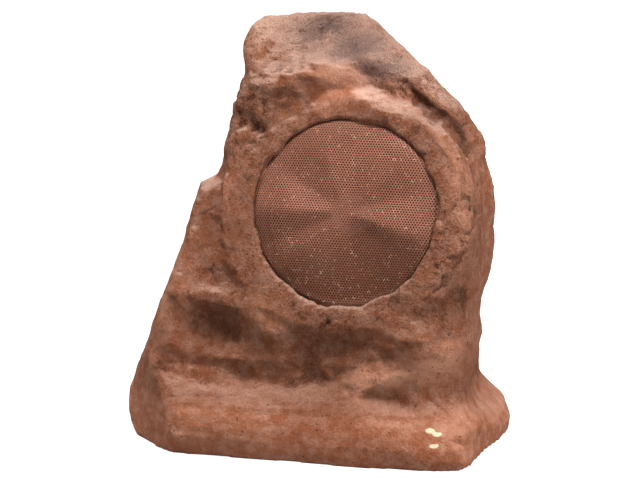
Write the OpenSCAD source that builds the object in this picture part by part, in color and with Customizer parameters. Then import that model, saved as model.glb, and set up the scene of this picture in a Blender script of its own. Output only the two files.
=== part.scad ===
// A garden loudspeaker in the shape of a rock: a hollow moulded rock with a round pleated grille,
// a coaxial two-way driver on a baffle behind it, a crossover on the base plate and a rear cable gland.
// Millimetres, +Z up. The origin is the middle of the base plate's underside, and the grille faces -Y.

/* [Rock] */
// Width of the rock across its foot
rock_w = 316; // [296:2:350]
// Depth of the rock across its foot
rock_d = 264; // [250:2:300]
// Height of the rock
rock_h = 360; // [350:2:400]
// Wall of the moulded shell
wall_t = 8; // [7:0.5:10]
// Wall left beside the base plate
rim_wall_t = 5; // [4:0.5:6]
// Deepest carved hollow
relief_depth = 14; // [8:1:18]
// Height of the coarse lumps
lump_h = 6; // [2:0.5:8]
// Spacing of the coarse lumps
lump_pitch = 58; // [45:1:80]
// Height of the fine ridges
ridge_h = 8; // [2:0.5:10]
// Spacing of the fine ridges
ridge_pitch = 30; // [24:1:45]

/* [Grille] */
// How far the rock's lip reaches over the grille's edge
lip_w = 7.5; // [5:0.5:9]
// Backward lean of the grille and driver, in degrees
face_tilt = 15; // [10:1:20]
// Thickness of the rock's lip in front of the grille
lip_t = 5; // [5:0.5:8]
// Wall of the ring between the driver and the grille
spacer_wall_t = 3.6; // [3:0.2:5]
// Depth of the recess, from the face to the baffle
recess_depth = 27; // [25:0.5:32]
// Thickness of the collar's wall
collar_wall_t = 9; // [9:0.5:12]
// Sheet thickness of the grille
grille_t = 1.2; // [1:0.1:1.6]
// Flat rim of the grille
grille_rim_w = 4; // [3:0.5:5]
// Rise of the grille's dome
dome_h = 8; // [5:0.5:10]
// Height of the grille's pleats
pleat_h = 8; // [4:0.5:9]
// Width of one perforation
hole_d = 8; // [6:0.5:9]
// Spacing of the perforations
hole_pitch = 13.8; // [13.5:0.1:16]
// Thickness of the foam gasket under the lip
gasket_t = 1.5; // [1:0.1:2]

/* [Driver] */
// Width of the driver's mounting flange
flange_d = 164; // [160:1:165]
// Sheet thickness of the basket
basket_t = 1.6; // [1.2:0.1:2]
// Width of the flange's ring, outside the hole in the baffle
flange_w = 11; // [10:0.5:12]
// Thickness of the baffle
baffle_t = 9; // [8:0.5:12]
// Width of the rolled surround
roll_w = 9.8; // [9:0.2:11]
// Depth of the cone
cone_depth = 22; // [20:0.5:24]
// Thickness of the cone
cone_t = 0.8; // [0.6:0.1:1.2]
// Travel of the cone each way from rest
cone_travel = 4; // [3:0.5:4]
// Width of the voice coil's former, outside
former_d = 25.8; // [25:0.1:27]
// Width of the ring magnet
magnet_d = 84; // [80:1:90]
// Thickness of the ring magnet
magnet_t = 16; // [14:0.5:18]
// Width of the tweeter's housing
tweeter_d = 32; // [28:0.5:34]

/* [Base] */
// Thickness of the base plate
plate_t = 6; // [5:0.5:8]
// Thickness of the seal above the base plate
seal_t = 1.5; // [1:0.1:2]
// Width of the ledge that the seal lies on
ledge_w = 5; // [4:0.5:7]
// Number of base plate screws
base_screws_n = 6; // [4:1:6]
// Height of the screw bosses in the shell
boss_h = 20; // [18:1:30]
// Width of the screw bosses
boss_d = 15; // [13:0.5:16]

/* [Crossover] */
// Length of the circuit board
board_l = 96; // [90:1:110]
// Width of the circuit board
board_w = 64; // [60:1:74]
// Thickness of the circuit board
board_t = 1.6; // [1.2:0.1:2]
// Height of the posts under the circuit board
post_h = 8; // [6:0.5:12]
// Width of the large inductor
coil_d = 30; // [26:1:32]
// Width of the capacitors
capacitor_d = 14; // [12:0.5:16]

/* [Cable gland] */
// Width of the cable that the gland's seal fits
cable_d = 6.4; // [5:0.1:7]
// Height of the gland above the ground
gland_z = 46; // [42:1:56]
// Depth of the pocket around the gland
pocket_depth = 22; // [20:0.5:26]
// Width of the pocket around the gland
pocket_w = 34; // [30:1:38]
// Width of the gland's threaded stem
gland_stem_d = 16; // [15:0.5:17]

/* [Hidden] */

$fn = 64;
// Overrun of every cut past the faces that it goes through
cut = 1;
// Running gap between pieces that seat in each other
fit = 0.3;
// Gap between a screw and its pilot hole
thread_gap = 0.05;

// Half sizes of the foot
half_w = rock_w / 2;
half_d = rock_d / 2;

// The rock's outline: [share of the height, share of the half width or half depth]
left_shares = [[0, -0.95], [0.03, -0.995], [0.07, -1.02], [0.13, -1.03], [0.158, -1.015], [0.185, -0.985],
    [0.24, -0.95], [0.295, -0.9], [0.355, -0.84], [0.41, -0.805], [0.465, -0.745], [0.52, -0.69],
    [0.58, -0.64], [0.607, -0.618], [0.627, -0.515], [0.665, -0.507], [0.72, -0.467], [0.78, -0.45],
    [0.837, -0.42], [0.865, -0.388], [0.922, -0.397], [0.953, -0.418], [0.98, -0.315], [1, -0.19]];
right_shares = [[0, 1.02], [0.03, 1.03], [0.055, 0.99], [0.08, 0.92], [0.11, 0.85], [0.14, 0.835],
    [0.185, 0.86], [0.24, 0.86], [0.295, 0.865], [0.355, 0.9], [0.465, 0.922], [0.58, 0.932],
    [0.627, 0.925], [0.665, 0.912], [0.72, 0.857], [0.78, 0.784], [0.81, 0.733], [0.837, 0.63],
    [0.865, 0.6], [0.895, 0.488], [0.922, 0.415], [0.953, 0.317], [0.98, 0.25], [1, 0.19]];
front_shares = [[0, -0.95], [0.03, -0.985], [0.06, -1], [0.09, -0.99], [0.115, -0.96], [0.14, -0.91],
    [0.165, -0.85], [0.19, -0.82], [0.22, -0.82], [0.26, -0.84], [0.3, -0.855], [0.35, -0.85],
    [0.41, -0.81], [0.52, -0.725], [0.607, -0.66], [0.72, -0.575], [0.8, -0.52], [0.85, -0.48],
    [0.88, -0.445], [0.91, -0.38], [0.94, -0.27], [0.97, -0.12], [1, 0]];
back_shares = [[0, 0.95], [0.03, 0.985], [0.07, 1], [0.133, 0.995], [0.185, 0.975], [0.295, 0.925],
    [0.41, 0.85], [0.52, 0.77], [0.607, 0.695], [0.72, 0.595], [0.837, 0.48], [0.922, 0.38],
    [0.953, 0.31], [0.98, 0.22], [1, 0.15]];
// Widths of the recess, of the rough opening in front of it and of the collar round it
recess_d = flange_d + 2 * spacer_wall_t + 6 * fit;
opening_d = recess_d - 2 * lip_w;
collar_d = recess_d + 2 * collar_wall_t;

// Squareness of the plan at the front and at the back
front_power = 6;
back_power = 2.7;

// Carved strokes: [direction they are seen from, start across, start up, end across, end up,
// width as a share of the rock's width, push as a share of the relief, sharpness from 0 to 1].
// The directions are 270 for the front, 0 for the right, 90 for the back and 180 for the left.
stroke_shares = [
    // Hollows under the grille, at the left and in the middle
    [270, -0.6, 0.295, -0.44, 0.3, 0.11, -0.9, 0],
    [270, 0.1, 0.24, 0.36, 0.27, 0.1, -0.6, 0],
    // Soft ridge that runs from the left rim to the foot of the grille
    [270, -0.7, 0.4, -0.42, 0.365, 0.05, 0.4, 0.3],
    [270, -0.42, 0.365, -0.1, 0.3, 0.05, 0.35, 0.3],
    [270, 0.5, 0.36, 0.8, 0.46, 0.06, 0.3, 0.3],
    // Valley over the foot, the ridge that climbs to the right over it, and the notch under the ridge
    [270, -0.74, 0.21, -0.3, 0.18, 0.05, -0.5, 0.6],
    [270, -0.3, 0.18, 0.25, 0.185, 0.05, -0.5, 0.6],
    [270, 0.2, 0.2, 0.62, 0.29, 0.07, 0.6, 0.4],
    [270, 0.62, 0.29, 0.9, 0.28, 0.09, 0.7, 0.3],
    [270, 0.4, 0.152, 0.56, 0.158, 0.045, -0.7, 0],
    // Boulder at the right of the foot
    [270, 0.84, 0.11, 0.9, 0.07, 0.1, 0.3, 0],
    // Rim of the front face, down the left edge
    [270, -0.54, 0.63, -0.61, 0.5, 0.055, 0.5, 0.8],
    [270, -0.61, 0.5, -0.71, 0.28, 0.055, 0.5, 0.8],
    [270, -0.71, 0.28, -0.81, 0.16, 0.06, 0.45, 0.8],
    // Hollow face between the left rim and the grille
    [270, -0.42, 0.6, -0.46, 0.42, 0.1, -1, 0],
    // Brow over the grille, and the hollow band under it
    [270, -0.36, 0.81, -0.2, 0.86, 0.05, 0.5, 0.8],
    [270, -0.2, 0.86, 0.05, 0.895, 0.05, 0.5, 0.8],
    [270, 0.05, 0.895, 0.5, 0.85, 0.05, 0.5, 0.8],
    [270, -0.15, 0.8, 0.15, 0.84, 0.06, -0.35, 0],
    // Groove down the right shoulder, and the crest outside it
    [310, 0.02, 0.86, 0.36, 0.7, 0.06, -1.6, 0.5],
    [325, 0.3, 0.87, 0.64, 0.7, 0.05, 0.6, 0.7],
    // Pit and chips at the left end of the brow
    [270, -0.32, 0.76, -0.28, 0.75, 0.035, -0.6, 0.5],
    [270, -0.42, 0.7, -0.2, 0.8, 0.04, 0.3, 0.8],
    // Rough hollow between the grille and the right edge
    [270, 0.86, 0.5, 0.8, 0.3, 0.07, -0.35, 0.3],
    // Right side: a long slanting hollow, with a ridge behind it
    [0, -0.2, 0.62, 0.35, 0.22, 0.12, -0.55, 0.2],
    [0, 0.3, 0.7, 0.62, 0.3, 0.08, 0.4, 0.7],
    // Back: a ridge down the middle, hollows beside it and a ledge
    [90, 0.15, 0.85, -0.1, 0.3, 0.09, 0.55, 0.8],
    [90, -0.45, 0.62, -0.5, 0.3, 0.13, -0.7, 0.2],
    [90, 0.5, 0.5, 0.62, 0.2, 0.11, -0.6, 0.2],
    [90, -0.8, 0.2, -0.3, 0.14, 0.07, 0.45, 0.6],
    // Left side: two slanting ledges and the hollow between them
    [180, -0.5, 0.52, 0.4, 0.6, 0.06, 0.45, 0.8],
    [180, -0.4, 0.36, 0.5, 0.42, 0.1, -0.6, 0.2],
    [180, -0.6, 0.2, 0.3, 0.26, 0.07, 0.4, 0.6]];

// Flat chips struck off the sides and back: [direction faced, upward lean in degrees, and a point of
// the chip as shares of the half width, the half depth and the height]
chips = [[196, 19, -0.79, -0.1, 0.48], [165, 28, -0.5, 0, 0.82], [135, 20, -0.56, 0.56, 0.42],
    [84, 17, 0.1, 0.78, 0.5], [98, 48, -0.05, 0.38, 0.9], [48, 16, 0.72, 0.58, 0.4],
    [30, 40, 0.62, 0.3, 0.78], [350, 6, 0.93, 0, 0.45], [8, 46, 0.76, -0.05, 0.82],
    [318, 6, 0.97, -0.92, 0.08], [224, 1, -0.79, -0.79, 0.05]];

// The ridges stand out from the rock's outline by this share of their height
ridge_level = 0.12;

// Centre of the grille, on the face of the rock
collar_inset = 12.5;
grille_x = 0.925 * half_w - collar_d / 2 - collar_inset;
grille_y = -0.7 * half_d;
grille_z = 0.575 * rock_h;
// The face is flat out to here from the driver's axis, and fades into the rock over the next stretch
face_rim_w = 6;
flat_r = opening_d / 2 + face_rim_w;
fade_w = 0.18 * half_w;
// Over this stretch outside the opening, the flat face gets rough, by so much more than the rock
edge_rise = 0.08 * half_w;
face_roughness = 1.7;

// Numbers of corners in the rock's rings, and of its rings below and above the shoulder
ring_n = 88;
low_rings_n = 36;
top_rings_n = 8;
shoulder_share = 0.9;
// The same for the hollow inside it, which ends below the summit
cavity_ring_n = 40;
cavity_rings_n = 17;
cavity_top_share = 0.875;

function clamped(v) = min(1, max(0, v));
function eased(v) = let (c = clamped(v)) c * c * (3 - 2 * c);
function mixed(a, b, share) = a + (b - a) * share;

// A repeatable number from 0 to 1 for each corner of a grid
function scatter(i, j, k) = let (s = sin(i * 127.1 + j * 311.7 + k * 74.7) * 43758.5453) s - floor(s);
function scatter_line(i, j, k, s) = mixed(scatter(i, j, k), scatter(i + 1, j, k), s);
function scatter_face(i, j, k, s) =
    mixed(scatter_line(i, j, k, s[0]), scatter_line(i, j + 1, k, s[0]), s[1]);
// Smooth lumps from -0.5 to 0.5, a grid step apart
function lumps(p) = let (
    i = [floor(p[0]), floor(p[1]), floor(p[2])],
    s = [for (c = [0:2]) eased(p[c] - i[c])])
    mixed(scatter_face(i[0], i[1], i[2], s), scatter_face(i[0], i[1], i[2] + 1, s), s[2]) - 0.5;

// Each stroke in millimetres, with the direction across its view
strokes = [for (s = stroke_shares) let (
    across = [-sin(s[0]), cos(s[0])],
    half = abs(across[0]) * half_w + abs(across[1]) * half_d)
    [s[0], across, [s[1] * half, s[2] * rock_h], [s[3] * half, s[4] * rock_h],
        s[5] * rock_w, s[6] * relief_depth, s[7]]];
function distance(p, a, b) = let (
    run = b - a,
    along = clamped(((p - a) * run) / (run * run)))
    norm(p - a - run * along);
function stroke_push(s, p, angle) = let (
    facing = eased((cos(angle - s[0]) - 0.05) / 0.5),
    near = facing > 0 ? 1 - distance([p[0] * s[1][0] + p[1] * s[1][1], p[2]], s[2], s[3]) / s[4] : 0)
    near > 0 ? facing * s[5] * mixed(eased(near), near, s[6]) : 0;
// Distance along a direction at which a chip cuts a line from the rock's axis
function chip_r(k, centre, out) = let (
    faced = [cos(k[1]) * cos(k[0]), cos(k[1]) * sin(k[0]), sin(k[1])],
    point = [k[2] * half_w, k[3] * half_d, k[4] * rock_h],
    slope = faced * out)
    slope > 0.2 ? (point - centre) * faced / slope : rock_w;
function total(v, i = 0) = i < len(v) ? v[i] + total(v, i + 1) : 0;

// Direction out of the grille, and the grille's centre
face_normal = [0, -cos(face_tilt), sin(face_tilt)];
face_centre = [grille_x, grille_y, grille_z];

// The rock's axis and half sizes at a height
function half_sizes(z) = let (
    up = z / rock_h,
    left = lookup(up, left_shares) * half_w,
    right = lookup(up, right_shares) * half_w,
    front = lookup(up, front_shares) * half_d,
    back = lookup(up, back_shares) * half_d)
    [(left + right) / 2, (front + back) / 2, (right - left) / 2, (back - front) / 2];

// Distance from the rock's axis to its surface, at an angle and a height
function rock_r(angle, z) = let (
    h = half_sizes(z),
    centre = [h[0], h[1], z],
    c = abs(cos(angle)),
    s = abs(sin(angle)),
    power = mixed(back_power, front_power, eased(0.5 - 1.5 * sin(angle))),
    plain = pow(pow(c / h[2], power) + pow(s / h[3], power), -1 / power),
    out = [cos(angle), sin(angle), 0],
    p = centre + out * plain,
    pushed = plain + total([for (k = strokes) stroke_push(k, p, angle)]),
    carved = min(pushed, max(0.8 * pushed, min([for (k = chips) chip_r(k, centre, out)]))),
    q = centre + out * carved,
    from_axis = cross(q - face_centre, face_normal),
    flat = sin(angle) < -0.1 ? 1 - eased((norm(from_axis) - flat_r) / fade_w) : 0,
    to_face = flat > 0 ? ((face_centre - centre) * face_normal) / (out * face_normal) : carved,
    corner = min(h[2] / max(c, 0.001), 1.05 * h[3] / max(s, 0.001)),
    faced = mixed(carved, min(to_face, max(corner, carved)), flat),
    rough = lump_h * lumps(p / lump_pitch) + ridge_h * (ridge_level - abs(lumps(p / ridge_pitch))),
    proud = eased((norm(from_axis) - opening_d / 2) / edge_rise))
    faced + (flat > 0 ? mixed(rough, face_roughness * abs(rough) * proud, flat) : rough);

// Corners and triangles of a closed form made of rings, one above another
function ring(z, n, inset) = let (h = half_sizes(z)) [for (i = [0:n - 1])
    let (angle = i * 360 / n, r = rock_r(angle, z) - inset)
    [h[0] + r * cos(angle), h[1] + r * sin(angle), z]];
function ring_faces(n, rings) = [
    for (j = [0:rings - 2], i = [0:n - 1], half = [0, 1])
        let (a = j * n + i, b = j * n + (i + 1) % n)
        half == 0 ? [a, a + n, b] : [b, a + n, b + n],
    for (i = [0:n - 1], top = [0, 1])
        top == 0 ? [rings * n, i, (i + 1) % n]
            : [rings * n + 1, (rings - 1) * n + (i + 1) % n, (rings - 1) * n + i]];
module stack(rings) {
    n = len(rings[0]);
    last = len(rings) - 1;
    ends = [for (r = [rings[0], rings[last]]) [for (c = [0:2]) total([for (p = r) p[c]]) / n]];
    polyhedron(points = [for (r = rings) for (p = r) p, each ends], faces = ring_faces(n, last + 1));
}
function ring_height(i) = rock_h * (i <= low_rings_n ? shoulder_share * i / low_rings_n
    : shoulder_share + (1 - shoulder_share) * (i - low_rings_n) / top_rings_n);
module rock_body() stack([for (i = [0:low_rings_n + top_rings_n]) ring(ring_height(i), ring_n, 0)]);

// The hollow follows the smallest radius near each of its corners, so that the wall is never thin
cavity_bottom = plate_t + seal_t;
function least_r(angle, z) = let (turn = 180 / cavity_ring_n, rise = 0.4 * rock_h / cavity_rings_n)
    min([for (a = [-turn, 0, turn], r = [-rise, 0, rise]) rock_r(angle + a, max(0, z + r))]);
function plate_r(angle) = rock_r(angle, 0) - rim_wall_t;
function cavity_height(i) = i == 0 ? cavity_bottom - cut
    : mixed(cavity_bottom, cavity_top_share * rock_h, (i - 1) / (cavity_rings_n - 1));
function cavity_ring(i) = let (z = cavity_height(i), h = half_sizes(z), foot = half_sizes(0))
    [for (k = [0:cavity_ring_n - 1]) let (
        angle = k * 360 / cavity_ring_n,
        r = i < 2 ? min(least_r(angle, 0), least_r(angle, z)) - rim_wall_t - ledge_w
            : least_r(angle, z) - wall_t)
        [h[0] + r * cos(angle), h[1] + r * sin(angle), z]];
module rock_cavity() stack([for (i = [0:cavity_rings_n]) cavity_ring(i)]);

// Outline of the base plate's recess, less a margin
function plate_points(margin) = let (h = half_sizes(0)) [for (i = [0:cavity_ring_n - 1])
    let (angle = i * 360 / cavity_ring_n, r = plate_r(angle) - margin)
    [h[0] + r * cos(angle), h[1] + r * sin(angle)]];

// Places of the base plate's screws, whose bosses grow out of the wall by this overlap
boss_overlap = 2;
function boss_place(i) = let (
    h = half_sizes(0),
    angle = (i + 0.5) * 360 / base_screws_n,
    r = plate_r(angle) - ledge_w - boss_d / 2 + boss_overlap)
    [h[0] + r * cos(angle), h[1] + r * sin(angle), 0];

// Puts its children on the driver's axis, with +Z out of the grille and +Y up the face
module on_face() translate(face_centre) rotate([90 - face_tilt, 0, 0]) children();
module washer(outer_d, inner_d, t) {
    difference() {
        cylinder(h = t, d = outer_d);
        translate([0, 0, -cut]) cylinder(h = t + 2 * cut, d = inner_d);
    }
}
module around(n, r, start = 0)
    for (i = [0:n - 1]) rotate([0, 0, start + i * 360 / n]) translate([r, 0, 0]) children();

// Stack of levels behind the face, along the driver's axis
gasket_z = -lip_t - gasket_t;
grille_z0 = gasket_z - grille_t;
baffle_z = -recess_depth;
baffle_back_z = baffle_z - baffle_t;

/* Opening in the rock's face */
// Shares by which the rough edge of the opening swells, over three waves
edge_waves = [[3, 20, 0.01], [7, 50, 0.012], [12, 0, 0.008], [19, 90, 0.006]];
edge_n = 72;
module opening_edge() polygon([for (i = [0:edge_n - 1]) let (
    angle = i * 360 / edge_n,
    r = opening_d / 2 * (1 + total([for (w = edge_waves) w[2] * sin(w[0] * angle + w[1])])))
    [r * cos(angle), r * sin(angle)]]);

// Baffle screws go into the end of the collar, with room for their heads behind the baffle
baffle_screws_n = 6;
baffle_screw_d = 4;
baffle_screw_l = 20;
screw_head_share = 0.6;
head_room = 2 * screw_head_share * baffle_screw_d;
baffle_screw_r = (recess_d + collar_wall_t) / 2;

// Base plate screws go up into the bosses, with their heads sunk into the plate
base_screw_d = 4;
base_screw_l = 18;
head_recess = 0.4;
base_screw_z = head_recess + screw_head_share * base_screw_d;

// Cable gland, at the back
gland_x = -0.42 * half_w;
gland_wall_t = 8;
gland_flange_t = 5;
gland_neck_l = 6;
gland_seal_l = 7;
gland_cap_t = 2.5;
gland_nut_t = 5;
gland_hex_d = 1.5 * gland_stem_d;
gland_slack = 1.6;
gland_bore_d = cable_d + gland_slack;
gland_neck_d = 1.06 * gland_stem_d;
gland_neck_t = 1;
gland_seal_d = gland_neck_d - 2 * gland_neck_t;
gland_cap_d = 1.3 * gland_neck_d;
gland_back_y = let (angle = 90 + atan(-gland_x / half_d), h = half_sizes(gland_z))
    h[1] + rock_r(angle, gland_z) * sin(angle);
gland_seat_y = gland_back_y - pocket_depth;
// Puts its children on the gland's axis, with +Z out of the rock
module on_gland() translate([gland_x, gland_seat_y, gland_z]) rotate([-90, 0, 0]) children();

module rock_shell() {
    color([0.62, 0.42, 0.33]) difference() {
        rock_body();
        difference() {
            rock_cavity();
            on_face() translate([0, 0, baffle_z]) cylinder(h = rock_d, d = collar_d);
            for (i = [0:base_screws_n - 1])
                translate(boss_place(i)) cylinder(h = cavity_bottom + boss_h, d = boss_d);
            on_gland() translate([0, 0, -gland_wall_t])
                cylinder(h = gland_wall_t + pocket_depth, d = 1.4 * pocket_w);
        }
        translate([0, 0, -cut]) linear_extrude(height = cavity_bottom + cut) polygon(plate_points(0));
        on_face() {
            translate([0, 0, baffle_back_z - head_room]) cylinder(h = baffle_t + head_room, d = collar_d);
            translate([0, 0, -lip_t - cut]) linear_extrude(height = rock_d / 2) opening_edge();
            translate([0, 0, baffle_z - cut]) cylinder(h = recess_depth - lip_t + cut, d = recess_d);
            translate([0, 0, baffle_z - cut]) around(baffle_screws_n, baffle_screw_r)
                cylinder(h = baffle_screw_l - baffle_t + 2 * cut, d = baffle_screw_d + 2 * thread_gap);
        }
        for (i = [0:base_screws_n - 1]) translate(boss_place(i)) translate([0, 0, cavity_bottom - cut])
            cylinder(h = base_screw_z + base_screw_l - cavity_bottom + 2 * cut,
                d = base_screw_d + 2 * thread_gap);
        on_gland() {
            translate([-pocket_w / 2, -pocket_w / 2, 0]) cube([pocket_w, pocket_w, pocket_depth + half_d]);
            translate([0, 0, -gland_wall_t - cut])
                cylinder(h = gland_wall_t + 2 * cut, d = gland_stem_d + 2 * fit);
        }
    }
}

/* Screws: a round head with a cross slot, above a plain shank that points down */
module screw(d, l) {
    head_h = screw_head_share * d;
    difference() {
        union() {
            cylinder(h = head_h, d = 2 * d);
            translate([0, 0, -l]) cylinder(h = l + cut, d = d);
        }
        for (turn = [0, 90]) rotate([0, 0, turn]) translate([-0.6 * d, -0.15 * d, head_h - 0.35 * d])
            cube([1.2 * d, 0.3 * d, d]);
    }
}

/* Base plate, its seal and its screws */
// Posts under the circuit board
board_x = -0.1 * half_w;
board_y = 0.12 * half_d;
post_d = 8;
post_inset = 6;
board_screw_d = 3;
board_screw_l = 8;
board_z = plate_t + post_h;
module at_posts(z) for (x = [-1, 1], y = [-1, 1])
    translate([board_x + x * (board_l / 2 - post_inset), board_y + y * (board_w / 2 - post_inset), z])
        children();

rib_w = 3;
rib_h = 5;
module base_plate() {
    color([0.16, 0.15, 0.14]) difference() {
        union() {
            linear_extrude(height = plate_t) polygon(plate_points(fit));
            at_posts(0) cylinder(h = board_z, d = post_d);
            for (side = [-1, 1]) {
                translate([board_x - board_l / 2, board_y + side * (board_w / 2 + 2 * rib_w) - rib_w / 2, 0])
                    cube([board_l, rib_w, plate_t + rib_h]);
                translate([board_x + side * (board_l / 2 + 2 * rib_w) - rib_w / 2, board_y - board_w / 2, 0])
                    cube([rib_w, board_w, plate_t + rib_h]);
            }
        }
        for (i = [0:base_screws_n - 1]) translate(boss_place(i)) translate([0, 0, -cut]) {
            cylinder(h = plate_t + 2 * cut, d = base_screw_d + 2 * fit);
            cylinder(h = base_screw_z + cut, d = 2 * base_screw_d + 4 * fit);
        }
        at_posts(board_z - board_screw_l)
            cylinder(h = board_screw_l + cut, d = board_screw_d + 2 * thread_gap);
    }
}

module base_seal() {
    color([0.1, 0.1, 0.1]) translate([0, 0, plate_t]) difference() {
        union() {
            difference() {
                linear_extrude(height = seal_t) polygon(plate_points(fit));
                translate([0, 0, -cut]) linear_extrude(height = seal_t + 2 * cut)
                    polygon(plate_points(ledge_w));
            }
            for (i = [0:base_screws_n - 1]) translate(boss_place(i)) cylinder(h = seal_t, d = boss_d);
        }
        for (i = [0:base_screws_n - 1]) translate(boss_place(i)) translate([0, 0, -cut])
            cylinder(h = seal_t + 2 * cut, d = base_screw_d + 2 * fit);
    }
}

module base_screws() {
    color([0.6, 0.6, 0.62]) for (i = [0:base_screws_n - 1]) translate(boss_place(i))
        translate([0, 0, base_screw_z]) rotate([180, 0, 0]) screw(base_screw_d, base_screw_l);
}

/* Grille: a pleated sheet in a flat rim, its gasket in front and its spacer behind */
// Height of the pleats round the grille, as shares: [angle from the right, share]
pleat_shares = [[-18, 1], [0, -0.1], [42, 0.8], [72, -0.1], [108, 1], [138, 0], [180, 1], [204, 0.2],
    [228, 0.7], [288, -0.7], [342, 1]];
// Rings of the sheet, as shares of its inner radius: [share, share of the dome, share of the pleats].
// The last but one lies inside the rough opening, so that the sheet passes under the lip.
sheet_shares = [[0.07, 1, 0], [0.3, 0.94, 0.75], [0.55, 0.76, 1], [0.78, 0.46, 0.85],
    [0.86, 0.34, 0.7], [0.895, 0.2, 0.3], [0.92, 0.07, 0.1], [1, 0, 0]];
sheet_n = 60;
sheet_r = recess_d / 2 - fit;
sheet_inner_r = sheet_r - grille_rim_w;
function sheet_ring(s, z) = [for (i = [0:sheet_n - 1]) let (
    angle = i * 360 / sheet_n,
    pleat = lookup(angle > 342 ? angle - 360 : angle, pleat_shares),
    r = s[0] * sheet_inner_r)
    [r * cos(angle), r * sin(angle), z + s[1] * dome_h + s[2] * pleat * pleat_h]];
function rim_ring(z) = [for (i = [0:sheet_n - 1]) let (angle = i * 360 / sheet_n)
    [sheet_r * cos(angle), sheet_r * sin(angle), z]];
// Perforations in staggered rows, turned a little from the pleats, inside this radius
holes_turn = 4.3;
holes_shift = [1.3, 0.7];
holes_r = sheet_inner_r - 0.75 * hole_d;
holes_rows = floor(holes_r / (hole_pitch * sin(60)));
hole_places = [for (j = [-holes_rows:holes_rows], i = [-holes_rows - 1:holes_rows + 1])
    let (p = holes_shift + [hole_pitch * (i + (j % 2 == 0 ? 0 : 0.5)), hole_pitch * sin(60) * j])
    if (norm(p) < holes_r) p];
module grille() {
    last = len(sheet_shares) - 1;
    color([0.42, 0.29, 0.23]) on_face() difference() {
        translate([0, 0, grille_z0]) stack([
            for (i = [0:last]) sheet_ring(sheet_shares[i], 0),
            rim_ring(0),
            rim_ring(grille_t),
            for (i = [last:-1:0]) sheet_ring(sheet_shares[i], grille_t)]);
        rotate([0, 0, holes_turn]) for (p = hole_places) translate([p[0], p[1], grille_z0 - pleat_h])
            cylinder(h = 2 * pleat_h + 2 * dome_h, d = hole_d, $fn = 6);
    }
}

module grille_gasket() {
    color([0.09, 0.09, 0.09]) on_face() translate([0, 0, gasket_z])
        washer(recess_d - 2 * fit, 2 * sheet_inner_r + grille_rim_w, gasket_t);
}

// The spacer ring holds the grille against the lip, and the baffle holds the ring
module grille_spacer() {
    color([0.13, 0.13, 0.13]) on_face() translate([0, 0, baffle_z])
        washer(recess_d - 2 * fit, flange_d + 4 * fit, grille_z0 - baffle_z);
}

/* Baffle, screwed to the back of the collar */
woofer_screws_n = 4;
woofer_screw_d = 4;
woofer_screw_l = 9;
woofer_screw_inset = 5.2;
woofer_screw_turn = 45;
woofer_gasket_t = 1;
flange_z = baffle_z + woofer_gasket_t;
flange_top_z = flange_z + basket_t;
flange_overhang = 3;
cutout_d = flange_d - 2 * flange_w;
flange_inner_d = cutout_d - 2 * flange_overhang;
woofer_screw_r = flange_d / 2 - woofer_screw_inset;
module baffle() {
    color([0.2, 0.19, 0.18]) on_face() difference() {
        translate([0, 0, baffle_back_z]) washer(collar_d - 2 * fit, cutout_d, baffle_t);
        around(baffle_screws_n, baffle_screw_r) translate([0, 0, baffle_back_z - cut])
            cylinder(h = baffle_t + 2 * cut, d = baffle_screw_d + 2 * fit);
        around(woofer_screws_n, woofer_screw_r, woofer_screw_turn) translate([0, 0, baffle_back_z - cut])
            cylinder(h = baffle_t + 2 * cut, d = woofer_screw_d + 2 * thread_gap);
    }
}
module baffle_screws() {
    color([0.6, 0.6, 0.62]) on_face() around(baffle_screws_n, baffle_screw_r)
        translate([0, 0, baffle_back_z]) rotate([180, 0, 0]) screw(baffle_screw_d, baffle_screw_l);
}

/* Woofer: levels along the driver's axis, below the flange */
cone_rim_w = 3;
cone_z = flange_top_z - cone_t;
neck_z = cone_z - cone_depth;
surround_t = 0.8;
roll_outer_d = flange_inner_d - fit;
cone_d = roll_outer_d - 2 * roll_w;
basket_depth = 26;
ledge_z = flange_z - basket_depth;
spider_d = 0.51 * flange_d;
spider_t = 0.7;
spider_well = 8;
gap_z = ledge_z - spider_well;
top_plate_t = 6;
magnet_step = 4;
magnet_hole_d = 36;
magnet_z = gap_z - top_plate_t - magnet_t;
yoke_t = 6;
former_t = 0.45;
coil_t = 0.6;
coil_l = 12;
coil_gap = 0.4;
pole_d = former_d - 2 * former_t - 2 * coil_gap;
former_z = gap_z - top_plate_t / 2 - coil_l / 2 - fit;
mount_t = 1.6;

module woofer_gasket() {
    color([0.08, 0.08, 0.08]) on_face() difference() {
        translate([0, 0, baffle_z]) washer(flange_d, cutout_d, woofer_gasket_t);
        around(woofer_screws_n, woofer_screw_r, woofer_screw_turn) translate([0, 0, baffle_z - cut])
            cylinder(h = woofer_gasket_t + 2 * cut, d = woofer_screw_d + 2 * fit);
    }
}

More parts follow.
